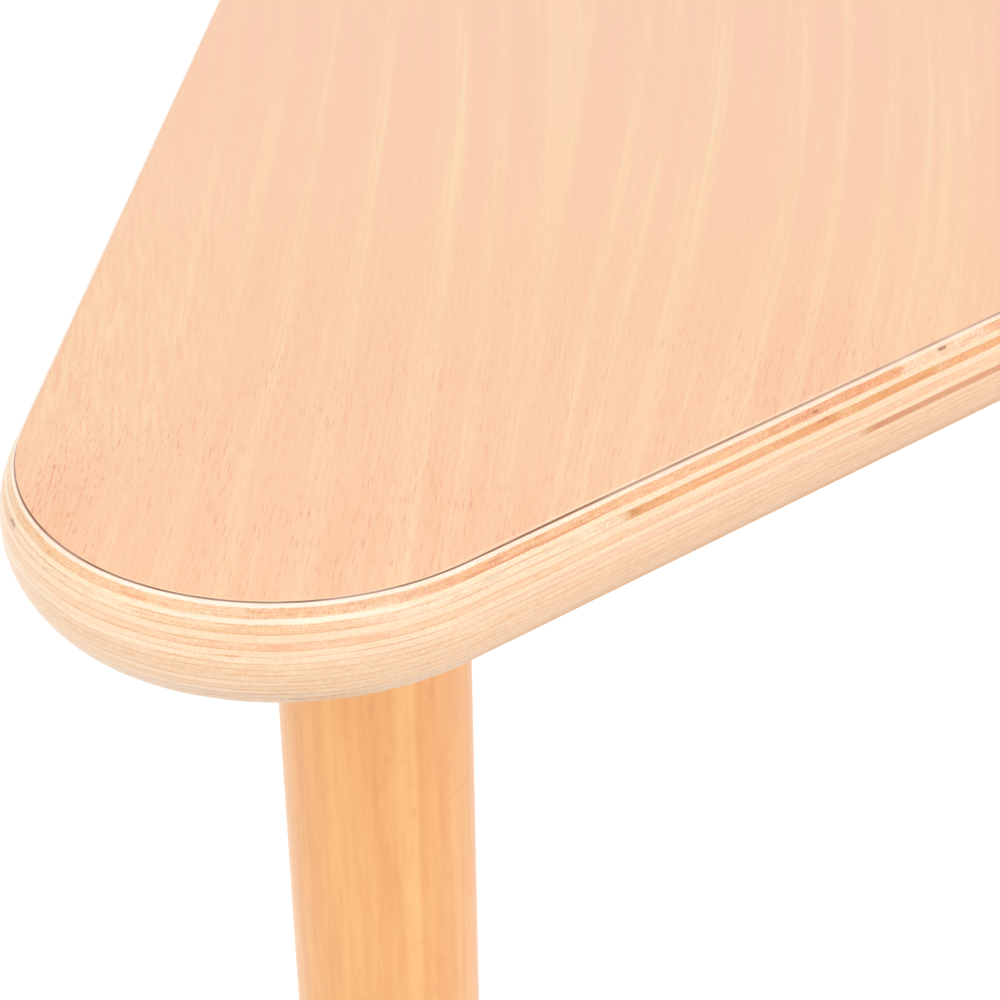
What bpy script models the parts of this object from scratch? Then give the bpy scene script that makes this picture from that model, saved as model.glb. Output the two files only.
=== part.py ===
"""School table: a triangular plywood top with a decor laminate on three round beech legs.

The table stands on the floor at z = 0, with the centre of its plan at the origin.
The long side runs along X at the -Y side, and the square corner points to +Y.
The corner at +X is the one that the photograph shows.
Every leg is fixed the same way: a steel plate is screwed under the top, a nut sits on
the plate inside a recess of the plywood, and a hanger bolt joins the nut and the leg.
"""

import math

import bmesh
import bpy
from mathutils import Vector

# Clearance between pieces that touch or fit into each other
FIT_GAP = 0.0003

# Table
TABLE_HEIGHT = 0.590
SHORT_SIDE = 0.850            # between the sharp corners that the rounding cuts off
CORNER_RADIUS = 0.062         # of the widest outline

# Top: plywood, decor laminate and the shallow round of their edge
PLYWOOD_THICKNESS = 0.0238
LAMINATE_THICKNESS = 0.0005
EDGE_SWELL = 0.0045           # how far the middle of the edge stands out past its arrises

# Legs
LEG_DIAMETER = 0.045
LEG_SETBACK = 0.050           # from the widest outline to the outer side of a leg
LEG_HEAD_CHAMFER = 0.001
LEG_FOOT_CHAMFER = 0.002

# Mounting plate of a leg
PLATE_SIDE = 0.080
PLATE_THICKNESS = 0.003
PLATE_CORNER_RADIUS = 0.008
PLATE_SCREW_MARGIN = 0.012    # from the plate's side to the middle of a screw

# Wood screws that hold the plate
SCREW_LENGTH = 0.020          # below the head
SCREW_DIAMETER = 0.0045
SCREW_HEAD_DIAMETER = 0.009
SCREW_HEAD_HEIGHT = 0.003
SCREW_TIP_LENGTH = 0.004

# Hanger bolt and its nut
BOLT_DIAMETER = 0.008
BOLT_IN_LEG = 0.045
BOLT_PAST_NUT = 0.002
BOLT_CHAMFER = 0.001
NUT_ACROSS_FLATS = 0.013
NUT_HEIGHT = 0.0065

# Glide under a leg and its screw
GLIDE_DIAMETER = 0.040
GLIDE_HEIGHT = 0.006
GLIDE_CHAMFER = 0.0015
GLIDE_SCREW_RECESS = 0.0015   # from the glide's underside to the screw's head
GLIDE_SCREW_LENGTH = 0.030
GLIDE_SCREW_DIAMETER = 0.004
GLIDE_SCREW_HEAD_DIAMETER = 0.008
GLIDE_SCREW_TIP_LENGTH = 0.0035

CUTTER_OVERRUN = 0.002

# Facets
ARC_STEP = math.radians(5.625)
EDGE_STEPS = 12
LAMINATE_EDGE_STEPS = 2
LEG_STEPS = 48
GLIDE_STEPS = 32
SMALL_STEPS = 16
DOME_STEPS = 4
PLATE_CORNER_STEPS = 4
SMOOTH_ANGLE = math.radians(30)
MERGE_DISTANCE = FIT_GAP / 10

# Heights, from the floor up
TOP_THICKNESS = PLYWOOD_THICKNESS + FIT_GAP + LAMINATE_THICKNESS
TOP_UNDERSIDE = TABLE_HEIGHT - TOP_THICKNESS
TOP_MIDDLE = TABLE_HEIGHT - TOP_THICKNESS / 2
PLATE_TOP = TOP_UNDERSIDE - FIT_GAP
PLATE_BOTTOM = PLATE_TOP - PLATE_THICKNESS
LEG_HEAD = PLATE_BOTTOM - FIT_GAP
LEG_FOOT = GLIDE_HEIGHT + FIT_GAP
NUT_BOTTOM = PLATE_TOP + FIT_GAP
NUT_TOP = NUT_BOTTOM + NUT_HEIGHT
BOLT_TOP = NUT_TOP + BOLT_PAST_NUT
BOLT_BOTTOM = LEG_HEAD - BOLT_IN_LEG
SCREW_SEAT = PLATE_BOTTOM - FIT_GAP
SCREW_TOP = SCREW_SEAT + SCREW_LENGTH
GLIDE_SCREW_CONE = (GLIDE_SCREW_HEAD_DIAMETER - GLIDE_SCREW_DIAMETER) / 2
GLIDE_SCREW_TOP = GLIDE_SCREW_RECESS + GLIDE_SCREW_LENGTH

# Radii
EDGE_RADIUS = ((TOP_THICKNESS / 2) ** 2 + EDGE_SWELL ** 2) / (2 * EDGE_SWELL)
LEG_RADIUS = LEG_DIAMETER / 2
BOLT_RADIUS = BOLT_DIAMETER / 2
SCREW_RADIUS = SCREW_DIAMETER / 2
SCREW_SPACING = PLATE_SIDE - 2 * PLATE_SCREW_MARGIN
NUT_CORNER_RADIUS = NUT_ACROSS_FLATS / 2 / math.cos(math.pi / 6)

# Plan of the top: each corner's name, its sharp point and the directions of the two
# sides' outward normals, counterclockwise
LONG_SIDE = SHORT_SIDE * math.sqrt(2)
ROUNDED_DEPTH = LONG_SIDE / 2 - CORNER_RADIUS * (math.sqrt(2) - 1)
LONG_SIDE_Y = -ROUNDED_DEPTH / 2
CORNERS = {
    "right": (Vector((LONG_SIDE / 2, LONG_SIDE_Y)), math.radians(-90), math.radians(45)),
    "rear": (Vector((0, LONG_SIDE_Y + LONG_SIDE / 2)), math.radians(45), math.radians(135)),
    "left": (Vector((-LONG_SIDE / 2, LONG_SIDE_Y)), math.radians(135), math.radians(270)),
}


def direction(angle):
    return Vector((math.cos(angle), math.sin(angle)))


def corner_bisector(corner):
    """The direction in which a corner points."""
    _, first_normal, last_normal = CORNERS[corner]
    return (first_normal + last_normal) / 2


def inside_corner(corner, distance):
    """The point that lies at one distance from both sides of a corner."""
    sharp_point, first_normal, last_normal = CORNERS[corner]
    half_turn = (last_normal - first_normal) / 2
    return sharp_point - direction(corner_bisector(corner)) * distance / math.cos(half_turn)


def top_outline(inset):
    """The rounded triangle of the top, drawn in by an inset from its widest outline."""
    points = []
    for corner, (_, first_normal, last_normal) in CORNERS.items():
        centre = inside_corner(corner, CORNER_RADIUS)
        steps = round((last_normal - first_normal) / ARC_STEP)
        for step in range(steps + 1):
            angle = first_normal + (last_normal - first_normal) * step / steps
            points.append(centre + direction(angle) * (CORNER_RADIUS - inset))
    return points


def edge_inset(height):
    """How far the round edge is drawn in at a height above the floor."""
    return EDGE_RADIUS - math.sqrt(EDGE_RADIUS ** 2 - (height - TOP_MIDDLE) ** 2)


def even_heights(bottom, top, steps):
    """Heights between two levels, spaced by equal angles of the edge's arc."""
    first = math.asin((bottom - TOP_MIDDLE) / EDGE_RADIUS)
    last = math.asin((top - TOP_MIDDLE) / EDGE_RADIUS)
    angles = [first + (last - first) * step / steps for step in range(steps + 1)]
    return [TOP_MIDDLE + EDGE_RADIUS * math.sin(angle) for angle in angles]


def clear_scene():
    for old in list(bpy.data.objects):
        bpy.data.objects.remove(old)


def new_collection(name):
    collection = bpy.data.collections.new(name)
    bpy.context.scene.collection.children.link(collection)
    return collection


def new_material(name, colour, roughness, metallic=0.0):
    material = bpy.data.materials.new(name)
    material.use_nodes = True
    shader = material.node_tree.nodes["Principled BSDF"]
    shader.inputs["Base Color"].default_value = (*colour, 1)
    shader.inputs["Roughness"].default_value = roughness
    shader.inputs["Metallic"].default_value = metallic
    return material


def new_object(name, mesh, collection, material=None, parent=None):
    piece = bpy.data.objects.new(name, mesh)
    collection.objects.link(piece)
    if material:
        mesh.materials.append(material)
    piece.parent = parent
    return piece


def new_cutter(name, mesh, parent):
    cutter = new_object(name, mesh, cutters, parent=parent)
    cutter.hide_render = True
    cutter.display_type = 'WIRE'
    return cutter


def shade_round(mesh):
    mesh.shade_smooth()
    mesh.set_sharp_from_angle(angle=SMOOTH_ANGLE)


def cut(piece, cutter):
    boolean = piece.modifiers.new(cutter.name, 'BOOLEAN')
    boolean.operation = 'DIFFERENCE'
    boolean.solver = 'EXACT'
    boolean.object = cutter


def stacked_outlines(name, heights):
    """A mesh that follows the top's outline through the given heights of its edge."""
    bm = bmesh.new()
    rings = []
    for height in heights:
        places = top_outline(edge_inset(height))
        verts = [bm.verts.new((place.x, place.y, height)) for place in places]
        rings.append([bm.edges.new((verts[k - 1], verts[k])) for k in range(len(verts))])
    for lower, upper in zip(rings, rings[1:]):
        bmesh.ops.bridge_loops(bm, edges=lower + upper)
    bmesh.ops.holes_fill(bm, edges=rings[0] + rings[-1])
    bmesh.ops.recalc_face_normals(bm, faces=bm.faces)
    mesh = bpy.data.meshes.new(name)
    bm.to_mesh(mesh)
    bm.free()
    shade_round(mesh)
    return mesh


def turned(name, profile, steps, closed=False):
    """A profile of (radius, height) pairs turned about Z.

    An open profile starts and ends on the axis. Its outer side runs from top to bottom.
    """
    count = len(profile)
    links = [(k, k + 1) for k in range(count - 1)]
    if closed:
        links.append((count - 1, 0))
    outline = bpy.data.meshes.new(name + "_profile")
    outline.from_pydata([(radius, 0, height) for radius, height in profile], links, [])
    guide = new_object(name + "_profile", outline, cutters)
    lathe = guide.modifiers.new("lathe", 'SCREW')
    lathe.steps = steps
    lathe.render_steps = steps
    lathe.use_merge_vertices = True
    lathe.merge_threshold = MERGE_DISTANCE
    depsgraph = bpy.context.evaluated_depsgraph_get()
    mesh = bpy.data.meshes.new_from_object(guide.evaluated_get(depsgraph))
    mesh.name = name
    bpy.data.objects.remove(guide)
    shade_round(mesh)
    return mesh


def rod_profile(radius, bottom, top, chamfer=0):
    """The profile of a plain rod, with both ends chamfered where a chamfer is given."""
    if not chamfer:
        return [(0, top), (radius, top), (radius, bottom), (0, bottom)]
    return [
        (0, top),
        (radius - chamfer, top),
        (radius, top - chamfer),
        (radius, bottom + chamfer),
        (radius - chamfer, bottom),
        (0, bottom),
    ]


def leg_frame(corner):
    """An empty on a leg's axis at floor level, its X axis pointing out of the corner."""
    axis = inside_corner(corner, LEG_SETBACK + LEG_RADIUS)
    frame = bpy.data.objects.new("leg_frame_" + corner, None)
    parts.objects.link(frame)
    frame.location = (axis.x, axis.y, 0)
    frame.rotation_euler.z = corner_bisector(corner)
    return frame


def make_leg(corner, frame):
    """A round leg with a bore for the bolt in its head and one for the glide's screw."""
    bolt_bore = BOLT_RADIUS + FIT_GAP
    screw_bore = GLIDE_SCREW_DIAMETER / 2 + FIT_GAP
    profile = [
        (0, BOLT_BOTTOM - FIT_GAP),
        (bolt_bore, BOLT_BOTTOM - FIT_GAP),
        (bolt_bore, LEG_HEAD),
        (LEG_RADIUS - LEG_HEAD_CHAMFER, LEG_HEAD),
        (LEG_RADIUS, LEG_HEAD - LEG_HEAD_CHAMFER),
        (LEG_RADIUS, LEG_FOOT + LEG_FOOT_CHAMFER),
        (LEG_RADIUS - LEG_FOOT_CHAMFER, LEG_FOOT),
        (screw_bore, LEG_FOOT),
        (screw_bore, GLIDE_SCREW_TOP + FIT_GAP),
        (0, GLIDE_SCREW_TOP + FIT_GAP),
    ]
    name = "leg_" + corner
    return new_object(name, turned(name, profile, LEG_STEPS), parts, beech, frame)


def make_plate(corner, frame, hole_cutters):
    """A square steel plate with round corners, a bolt hole and four screw holes."""
    name = "leg_plate_" + corner
    bm = bmesh.new()
    bmesh.ops.create_cube(bm, size=1)
    bmesh.ops.scale(bm, vec=(PLATE_SIDE, PLATE_SIDE, PLATE_THICKNESS), verts=bm.verts)
    upright = [edge for edge in bm.edges if edge.verts[0].co.xy == edge.verts[1].co.xy]
    bmesh.ops.bevel(bm, geom=upright, offset=PLATE_CORNER_RADIUS,
                    segments=PLATE_CORNER_STEPS, profile=0.5, affect='EDGES')
    mesh = bpy.data.meshes.new(name)
    bm.to_mesh(mesh)
    bm.free()
    plate = new_object(name, mesh, parts, zinc, frame)
    plate.location.z = PLATE_BOTTOM + PLATE_THICKNESS / 2
    for cutter in hole_cutters:
        cut(plate, cutter)
    return plate


def make_nut(corner, frame, bolt_cutter):
    """A hexagon nut on the plate."""
    name = "plate_nut_" + corner
    bm = bmesh.new()
    bmesh.ops.create_cone(bm, cap_ends=True, segments=6, depth=NUT_HEIGHT,
                          radius1=NUT_CORNER_RADIUS, radius2=NUT_CORNER_RADIUS)
    mesh = bpy.data.meshes.new(name)
    bm.to_mesh(mesh)
    bm.free()
    nut = new_object(name, mesh, parts, zinc, frame)
    nut.location.z = NUT_BOTTOM + NUT_HEIGHT / 2
    cut(nut, bolt_cutter)
    return nut


def make_bolt(corner, frame):
    """The hanger bolt, from the leg's bore up through the plate and the nut."""
    name = "hanger_bolt_" + corner
    profile = rod_profile(BOLT_RADIUS, BOLT_BOTTOM, BOLT_TOP, BOLT_CHAMFER)
    return new_object(name, turned(name, profile, SMALL_STEPS), parts, zinc, frame)


def screw_places():
    """The four places of the plate's screws around the leg's axis."""
    half = SCREW_SPACING / 2
    return [(-half, -half), (half, -half), (half, half), (-half, half)]


def plate_screw_mesh():
    """A dome-headed wood screw with its tip up, as it is driven through the plate."""
    head_radius = SCREW_HEAD_DIAMETER / 2
    profile = [
        (0, SCREW_TOP),
        (SCREW_RADIUS, SCREW_TOP - SCREW_TIP_LENGTH),
        (SCREW_RADIUS, SCREW_SEAT),
    ]
    for step in range(DOME_STEPS):
        angle = math.pi / 2 * step / DOME_STEPS
        radius = head_radius * math.cos(angle)
        profile.append((radius, SCREW_SEAT - SCREW_HEAD_HEIGHT * math.sin(angle)))
    profile.append((0, SCREW_SEAT - SCREW_HEAD_HEIGHT))
    return turned("plate_screw", profile, SMALL_STEPS)


def make_plate_screws(corner, frame, mesh):
    """Four screws, driven up through the plate into the plywood."""
    for number, (x, y) in enumerate(screw_places(), start=1):
        screw = new_object(f"plate_screw_{corner}_{number}", mesh, parts, parent=frame)
        screw.location = (x, y, 0)


def make_glide(corner, frame):
    """A plastic disc that stands on the floor, with a countersink for its screw."""
    name = "glide_" + corner
    radius = GLIDE_DIAMETER / 2
    bore = GLIDE_SCREW_DIAMETER / 2 + FIT_GAP
    countersink = GLIDE_SCREW_HEAD_DIAMETER / 2 + FIT_GAP
    profile = [
        (bore, GLIDE_HEIGHT),
        (radius, GLIDE_HEIGHT),
        (radius, GLIDE_CHAMFER),
        (radius - GLIDE_CHAMFER, 0),
        (countersink, 0),
        (countersink, GLIDE_SCREW_RECESS),
        (bore, GLIDE_SCREW_RECESS + GLIDE_SCREW_CONE),
    ]
    mesh = turned(name, profile, GLIDE_STEPS, closed=True)
    return new_object(name, mesh, parts, nylon, frame)


def make_glide_screw(corner, frame):
    """A countersunk screw, driven up through the glide into the leg's foot."""
    name = "glide_screw_" + corner
    radius = GLIDE_SCREW_DIAMETER / 2
    profile = [
        (0, GLIDE_SCREW_TOP),
        (radius, GLIDE_SCREW_TOP - GLIDE_SCREW_TIP_LENGTH),
        (radius, GLIDE_SCREW_RECESS + GLIDE_SCREW_CONE),
        (GLIDE_SCREW_HEAD_DIAMETER / 2, GLIDE_SCREW_RECESS),
        (0, GLIDE_SCREW_RECESS),
    ]
    return new_object(name, turned(name, profile, SMALL_STEPS), parts, zinc, frame)


def make_cutters(corner, frame):
    """Cutters of one leg: the bolt hole, the nut's recess and the four screw holes."""
    bolt_name = "bolt_hole_cutter_" + corner
    bolt_profile = rod_profile(BOLT_RADIUS + FIT_GAP, PLATE_BOTTOM - CUTTER_OVERRUN,
                               NUT_TOP + CUTTER_OVERRUN)
    bolt_cutter = new_cutter(bolt_name, turned(bolt_name, bolt_profile, SMALL_STEPS), frame)

    recess_name = "nut_recess_cutter_" + corner
    recess_profile = rod_profile(NUT_CORNER_RADIUS + FIT_GAP, TOP_UNDERSIDE - CUTTER_OVERRUN,
                                 BOLT_TOP + FIT_GAP)
    recess_mesh = turned(recess_name, recess_profile, SMALL_STEPS)
    recess_cutter = new_cutter(recess_name, recess_mesh, frame)

    screw_name = "screw_hole_cutter_" + corner
    screw_profile = rod_profile(SCREW_RADIUS + FIT_GAP, PLATE_BOTTOM - CUTTER_OVERRUN,
                                SCREW_TOP + FIT_GAP)
    screw_cutter = new_cutter(screw_name, turned(screw_name, screw_profile, SMALL_STEPS), frame)
    screw_cutter.location = (*screw_places()[0], 0)
    for axis in range(2):
        row = screw_cutter.modifiers.new("row", 'ARRAY')
        row.count = 2
        row.use_relative_offset = False
        row.use_constant_offset = True
        row.constant_offset_displace[0] = 0
        row.constant_offset_displace[axis] = SCREW_SPACING
    return bolt_cutter, recess_cutter, screw_cutter


def make_top():
    """The plywood and, on it, the thin laminate that carries the decor."""
    plywood_top = TOP_UNDERSIDE + PLYWOOD_THICKNESS
    core_heights = even_heights(TOP_UNDERSIDE, plywood_top, EDGE_STEPS)
    core_mesh = stacked_outlines("plywood_core", core_heights)
    core = new_object("plywood_core", core_mesh, parts, birch)

    laminate_heights = even_heights(plywood_top + FIT_GAP, TABLE_HEIGHT, LAMINATE_EDGE_STEPS)
    laminate_mesh = stacked_outlines("top_laminate", laminate_heights)
    new_object("top_laminate", laminate_mesh, parts, beech_decor)
    return core


clear_scene()
parts = new_collection("school_table")
cutters = new_collection("cutters")

beech_decor = new_material("beech_decor", (0.93, 0.62, 0.40), 0.45)
birch = new_material("birch_plywood", (0.93, 0.74, 0.52), 0.5)
beech = new_material("lacquered_beech", (0.86, 0.48, 0.22), 0.35)
zinc = new_material("zinc_plated_steel", (0.62, 0.63, 0.65), 0.35, metallic=1.0)
nylon = new_material("grey_nylon", (0.16, 0.16, 0.17), 0.6)

plywood_core = make_top()
screw_mesh = plate_screw_mesh()
screw_mesh.materials.append(zinc)
for corner_name in CORNERS:
    axis_frame = leg_frame(corner_name)
    bolt_hole, nut_recess, screw_holes = make_cutters(corner_name, axis_frame)
    cut(plywood_core, nut_recess)
    cut(plywood_core, screw_holes)
    make_leg(corner_name, axis_frame)
    make_plate(corner_name, axis_frame, (bolt_hole, screw_holes))
    make_nut(corner_name, axis_frame, bolt_hole)
    make_bolt(corner_name, axis_frame)
    make_plate_screws(corner_name, axis_frame, screw_mesh)
    make_glide(corner_name, axis_frame)
    make_glide_screw(corner_name, axis_frame)
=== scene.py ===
# %% [markdown]
# # A school table
#
# The table is a triangle of birch plywood under a beech decor laminate. It stands on three
# round beech legs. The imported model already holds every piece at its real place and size,
# so it is loaded first and never moved. This lesson then models the surfaces that the eye
# meets, one piece after the other, and gives each of them a finish made of nodes.

import math

import bmesh
import bpy
from mathutils import Matrix, Vector


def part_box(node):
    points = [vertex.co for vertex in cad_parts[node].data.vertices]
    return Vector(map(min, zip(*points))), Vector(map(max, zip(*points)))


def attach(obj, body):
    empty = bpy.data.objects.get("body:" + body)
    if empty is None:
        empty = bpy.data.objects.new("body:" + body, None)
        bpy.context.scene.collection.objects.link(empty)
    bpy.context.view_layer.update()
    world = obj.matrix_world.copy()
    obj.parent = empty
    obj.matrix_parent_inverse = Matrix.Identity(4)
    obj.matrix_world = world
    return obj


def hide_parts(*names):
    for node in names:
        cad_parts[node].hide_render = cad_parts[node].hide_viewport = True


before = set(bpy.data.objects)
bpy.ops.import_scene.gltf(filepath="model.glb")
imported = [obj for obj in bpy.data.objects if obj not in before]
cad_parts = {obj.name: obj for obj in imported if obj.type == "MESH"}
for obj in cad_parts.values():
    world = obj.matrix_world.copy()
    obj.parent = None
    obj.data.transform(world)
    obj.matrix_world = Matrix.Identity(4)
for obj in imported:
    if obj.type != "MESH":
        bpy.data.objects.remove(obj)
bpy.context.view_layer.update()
MM = 0.001

# %% [markdown]
# ## Where things are
#
# A node's box tells where it lies. The top's outline has three round corners, and the box
# touches all three arcs, so the box and the corner's radius are enough to find the middle
# of each arc. Angles are counted from the X axis, and each corner's arc runs from the
# direction of one side's normal to that of the next side.

# %% Sizes of the top
CORNER_RADIUS = 62 * MM
EDGE_SWELL = 4.5 * MM

core_low, core_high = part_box("plywood_core")
laminate_low, laminate_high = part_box("top_laminate")
TABLE_TOP = laminate_high.z
LAMINATE_BOTTOM = laminate_low.z
TOP_BOTTOM = core_low.z
TOP_THICKNESS = TABLE_TOP - TOP_BOTTOM
TOP_MIDDLE = (TABLE_TOP + TOP_BOTTOM) / 2
EDGE_RADIUS = ((TOP_THICKNESS / 2) ** 2 + EDGE_SWELL ** 2) / (2 * EDGE_SWELL)

CORNERS = {
    "right": (core_high.x - CORNER_RADIUS, core_low.y + CORNER_RADIUS, -90, 45),
    "rear": (0, core_high.y - CORNER_RADIUS, 45, 135),
    "left": (core_low.x + CORNER_RADIUS, core_low.y + CORNER_RADIUS, 135, 270),
}
print("thickness of the top in mm:", round(TOP_THICKNESS / MM, 2))

# %% [markdown]
# ## The camera
#
# The picture is taken from above the worktop, close to one corner. A camera object looks
# along its own -Z axis with +Y up. Three turns, one after the other, aim it: the roll about
# its own view axis, then the tilt up from looking straight down, then the heading. Its place
# is counted from that corner, so it keeps the view if the table's size changes.

# %% Camera
IMAGE_SIZE = 1000
FOCAL_PIXELS = 2813.8
SENSOR = 36
CAMERA_OFFSET = Vector((0.42685, 0.15873, 0.31014))
HEADING = math.radians(96.282)
DOWNWARD = math.radians(33.262)
ROLL = math.radians(0.794)
NEAR_CLIP = 10 * MM

bpy.ops.object.select_all(action="DESELECT")
bpy.ops.object.camera_add()
camera = bpy.context.object
camera.name = "camera"
camera.data.sensor_width = SENSOR
camera.data.lens = FOCAL_PIXELS * SENSOR / IMAGE_SIZE
camera.data.clip_start = NEAR_CLIP
camera_place = Vector((core_high.x, core_low.y, TABLE_TOP)) + CAMERA_OFFSET
camera.matrix_world = (
    Matrix.Translation(camera_place)
    @ Matrix.Rotation(HEADING, 4, "Z")
    @ Matrix.Rotation(math.pi / 2 - DOWNWARD, 4, "X")
    @ Matrix.Rotation(-ROLL, 4, "Z")
)
bpy.context.scene.camera = camera
bpy.context.scene.view_settings.view_transform = "Standard"
print("lens in mm:", round(camera.data.lens, 2))

# %% [markdown]
# ## Nodes as sums
#
# A finish is a network of small nodes, and most of them only add or multiply. Written one
# by one they hide the idea, so a small class wraps a socket and lets Python's own operators
# add the Math nodes. Everything else comes from one method that takes the kind of node, its
# settings and what goes into its sockets.

# %% A wrapped socket
class Wire:
    """An output socket. Sums and products with it add Math nodes to its finish."""

    def __init__(self, finish, socket):
        self.finish = finish
        self.socket = socket

    def math(self, operation, *values):
        inputs = dict(enumerate((self, *values)))
        return self.finish.node("ShaderNodeMath", {"operation": operation}, inputs)

    def __add__(self, other):
        return self.math("ADD", other)

    def __sub__(self, other):
        return self.math("SUBTRACT", other)

    def __rsub__(self, other):
        return self.finish.node("ShaderNodeMath", {"operation": "SUBTRACT"}, {0: other, 1: self})

    def __mul__(self, other):
        return self.math("MULTIPLY", other)

    def __truediv__(self, other):
        return self.math("DIVIDE", other)

    def __pow__(self, other):
        return self.math("POWER", other)

    __radd__ = __add__
    __rmul__ = __mul__

    def at_least(self, other):
        return self.math("MAXIMUM", other)

    def at_most(self, other):
        return self.math("MINIMUM", other)

    def output(self, name):
        """Another output of the node that this socket belongs to."""
        return Wire(self.finish, self.socket.node.outputs[name])


# %% [markdown]
# A shader reckons in linear light, while a colour picked from a picture is written for a
# screen, so one helper turns the one into the other. The finish itself is a class whose
# methods add the nodes that come back again and again: noise, ramps, smooth steps and blends.

# %% A finish with its nodes
SCREEN_WHITE = 255
DARK_LIMIT, DARK_SLOPE, CURVE_LIFT, CURVE_POWER = 0.04045, 12.92, 0.055, 2.4
MIX_FACTOR, MIX_FIRST, MIX_SECOND, MIX_RESULT = 0, 6, 7, 2
SMOOTH, DETAIL, RICH = 1.0, 2.0, 3.0
EVEN, ROUGH, ROUGHER = 0.5, 0.6, 0.7
WOOD_CHANGE = (0.35, 0.85, 1.25)


def linear_share(share):
    if share <= DARK_LIMIT:
        return share / DARK_SLOPE
    return ((share + CURVE_LIFT) / (1 + CURVE_LIFT)) ** CURVE_POWER


def tone(red, green, blue):
    """A colour given as it looks on a screen, from 0 to 255, in the linear values of a shader."""
    return (*(linear_share(x / SCREEN_WHITE) for x in (red, green, blue)), 1)


class Finish:
    """A material and the nodes that feed its Principled shader."""

    def __init__(self, name, constants):
        self.name = name
        self.material = bpy.data.materials.new(name + "_finish")
        self.material.use_nodes = True
        self.tree = self.material.node_tree
        self.shader = self.tree.nodes["Principled BSDF"]
        for socket, value in constants.items():
            self.shader.inputs[socket].default_value = value

    def node(self, kind, settings=None, inputs=None, output=0):
        made = self.tree.nodes.new(kind)
        for setting, value in (settings or {}).items():
            if setting == "stops":
                self.set_stops(made.color_ramp, value)
            elif setting == "interpolation" and kind == "ShaderNodeValToRGB":
                made.color_ramp.interpolation = value
            else:
                setattr(made, setting, value)
        for socket, value in (inputs or {}).items():
            if isinstance(value, Wire):
                self.tree.links.new(value.socket, made.inputs[socket])
            else:
                made.inputs[socket].default_value = value
        return Wire(self, made.outputs[output])

    @staticmethod
    def set_stops(ramp, stops):
        ramp.elements.remove(ramp.elements[1])
        for number, (position, value) in enumerate(stops):
            element = ramp.elements[0] if number == 0 else ramp.elements.new(position)
            element.position = position
            element.color = value if isinstance(value, tuple) else (value, value, value, 1)

    def feed(self, socket, wire):
        self.tree.links.new(wire.socket, self.shader.inputs[socket])

    def place(self):
        """The three Object coordinates, in metres."""
        coordinates = self.node("ShaderNodeTexCoord", output="Object")
        return self.split(coordinates)

    def split(self, vector):
        x = self.node("ShaderNodeSeparateXYZ", None, {"Vector": vector}, "X")
        return x, x.output("Y"), x.output("Z")

    def join(self, x, y, z=0.0):
        return self.node("ShaderNodeCombineXYZ", None, {"X": x, "Y": y, "Z": z})

    def noise(self, places, sizes, detail=DETAIL, roughness=EVEN, distortion=0.0, layer=0.0):
        """Noise from 0 to 1. Its grains have the given size along each of the coordinates,
        and another layer gives another pattern. Detail is how many finer noises are added,
        and roughness is how strong they are."""
        cells = [place / size for place, size in zip(places, sizes)]
        if len(cells) == 2:
            cells.append(layer)
        inputs = {"Vector": self.join(*cells), "Scale": 1.0, "Detail": detail,
                  "Roughness": roughness, "Distortion": distortion}
        return self.node("ShaderNodeTexNoise", {"noise_dimensions": "3D"}, inputs)

    def swing(self, places, sizes, detail=DETAIL, roughness=EVEN, distortion=0.0, layer=0.0):
        """The same noise, around 0."""
        return self.noise(places, sizes, detail, roughness, distortion, layer) - 0.5

    def ramp(self, factor, stops, interpolation="LINEAR"):
        settings = {"interpolation": interpolation, "stops": stops}
        return self.node("ShaderNodeValToRGB", settings, {"Fac": factor})

    def rise(self, value, start, end):
        """0 before start, 1 after end, and a smooth rise between them. With the end before
        the start it falls instead."""
        inputs = {"Value": value, "From Min": start, "From Max": end}
        return self.node("ShaderNodeMapRange", {"interpolation_type": "SMOOTHSTEP"}, inputs)

    def blend(self, factor, first, second):
        """The first colour where the factor is 0, and the second where it is 1."""
        settings = {"data_type": "RGBA", "blend_type": "MIX", "clamp_factor": True}
        inputs = {MIX_FACTOR: factor, MIX_FIRST: first, MIX_SECOND: second}
        return self.node("ShaderNodeMix", settings, inputs, MIX_RESULT)

    def brighten(self, colour, factor):
        """The colour times a number that varies over the surface."""
        inputs = {0: colour, "Scale": factor}
        return self.node("ShaderNodeVectorMath", {"operation": "SCALE"}, inputs)

    def deepen(self, colour, change):
        """Paler above 0 and deeper below: wood's red changes least and its blue most."""
        shares = self.join(*(1 + change * part for part in WOOD_CHANGE))
        return self.node("ShaderNodeVectorMath", {"operation": "MULTIPLY"}, {0: colour, 1: shares})

    def bump(self, height, distance, strength):
        """Fine relief: distance is its height in metres."""
        inputs = {"Height": height, "Distance": distance, "Strength": strength}
        self.feed("Normal", self.node("ShaderNodeBump", None, inputs))


print("screen white in linear light:", tone(SCREEN_WHITE, SCREEN_WHITE, SCREEN_WHITE))

# %% [markdown]
# ## The beech decor
#
# The worktop is a laminate with a printed picture of flat-sawn beech. Its rings make long
# pale streaks, and near the photographed corner the streaks part left and right of a line,
# as they do where a saw runs along a ring. On such a line the pattern's own coordinate is
# bent: instead of the plain distance from the long side, the finish uses a distance that
# follows the streaks. The bend starts well away from the corner and grows towards it, with
# its own slope and curve on either side of the parting line. All other marks are then drawn
# along that bent distance. Here and below, a pair of sizes is (along the grain, across it) in
# millimetres, and a pair of limits tells where a smooth step starts and where it is full.

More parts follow.
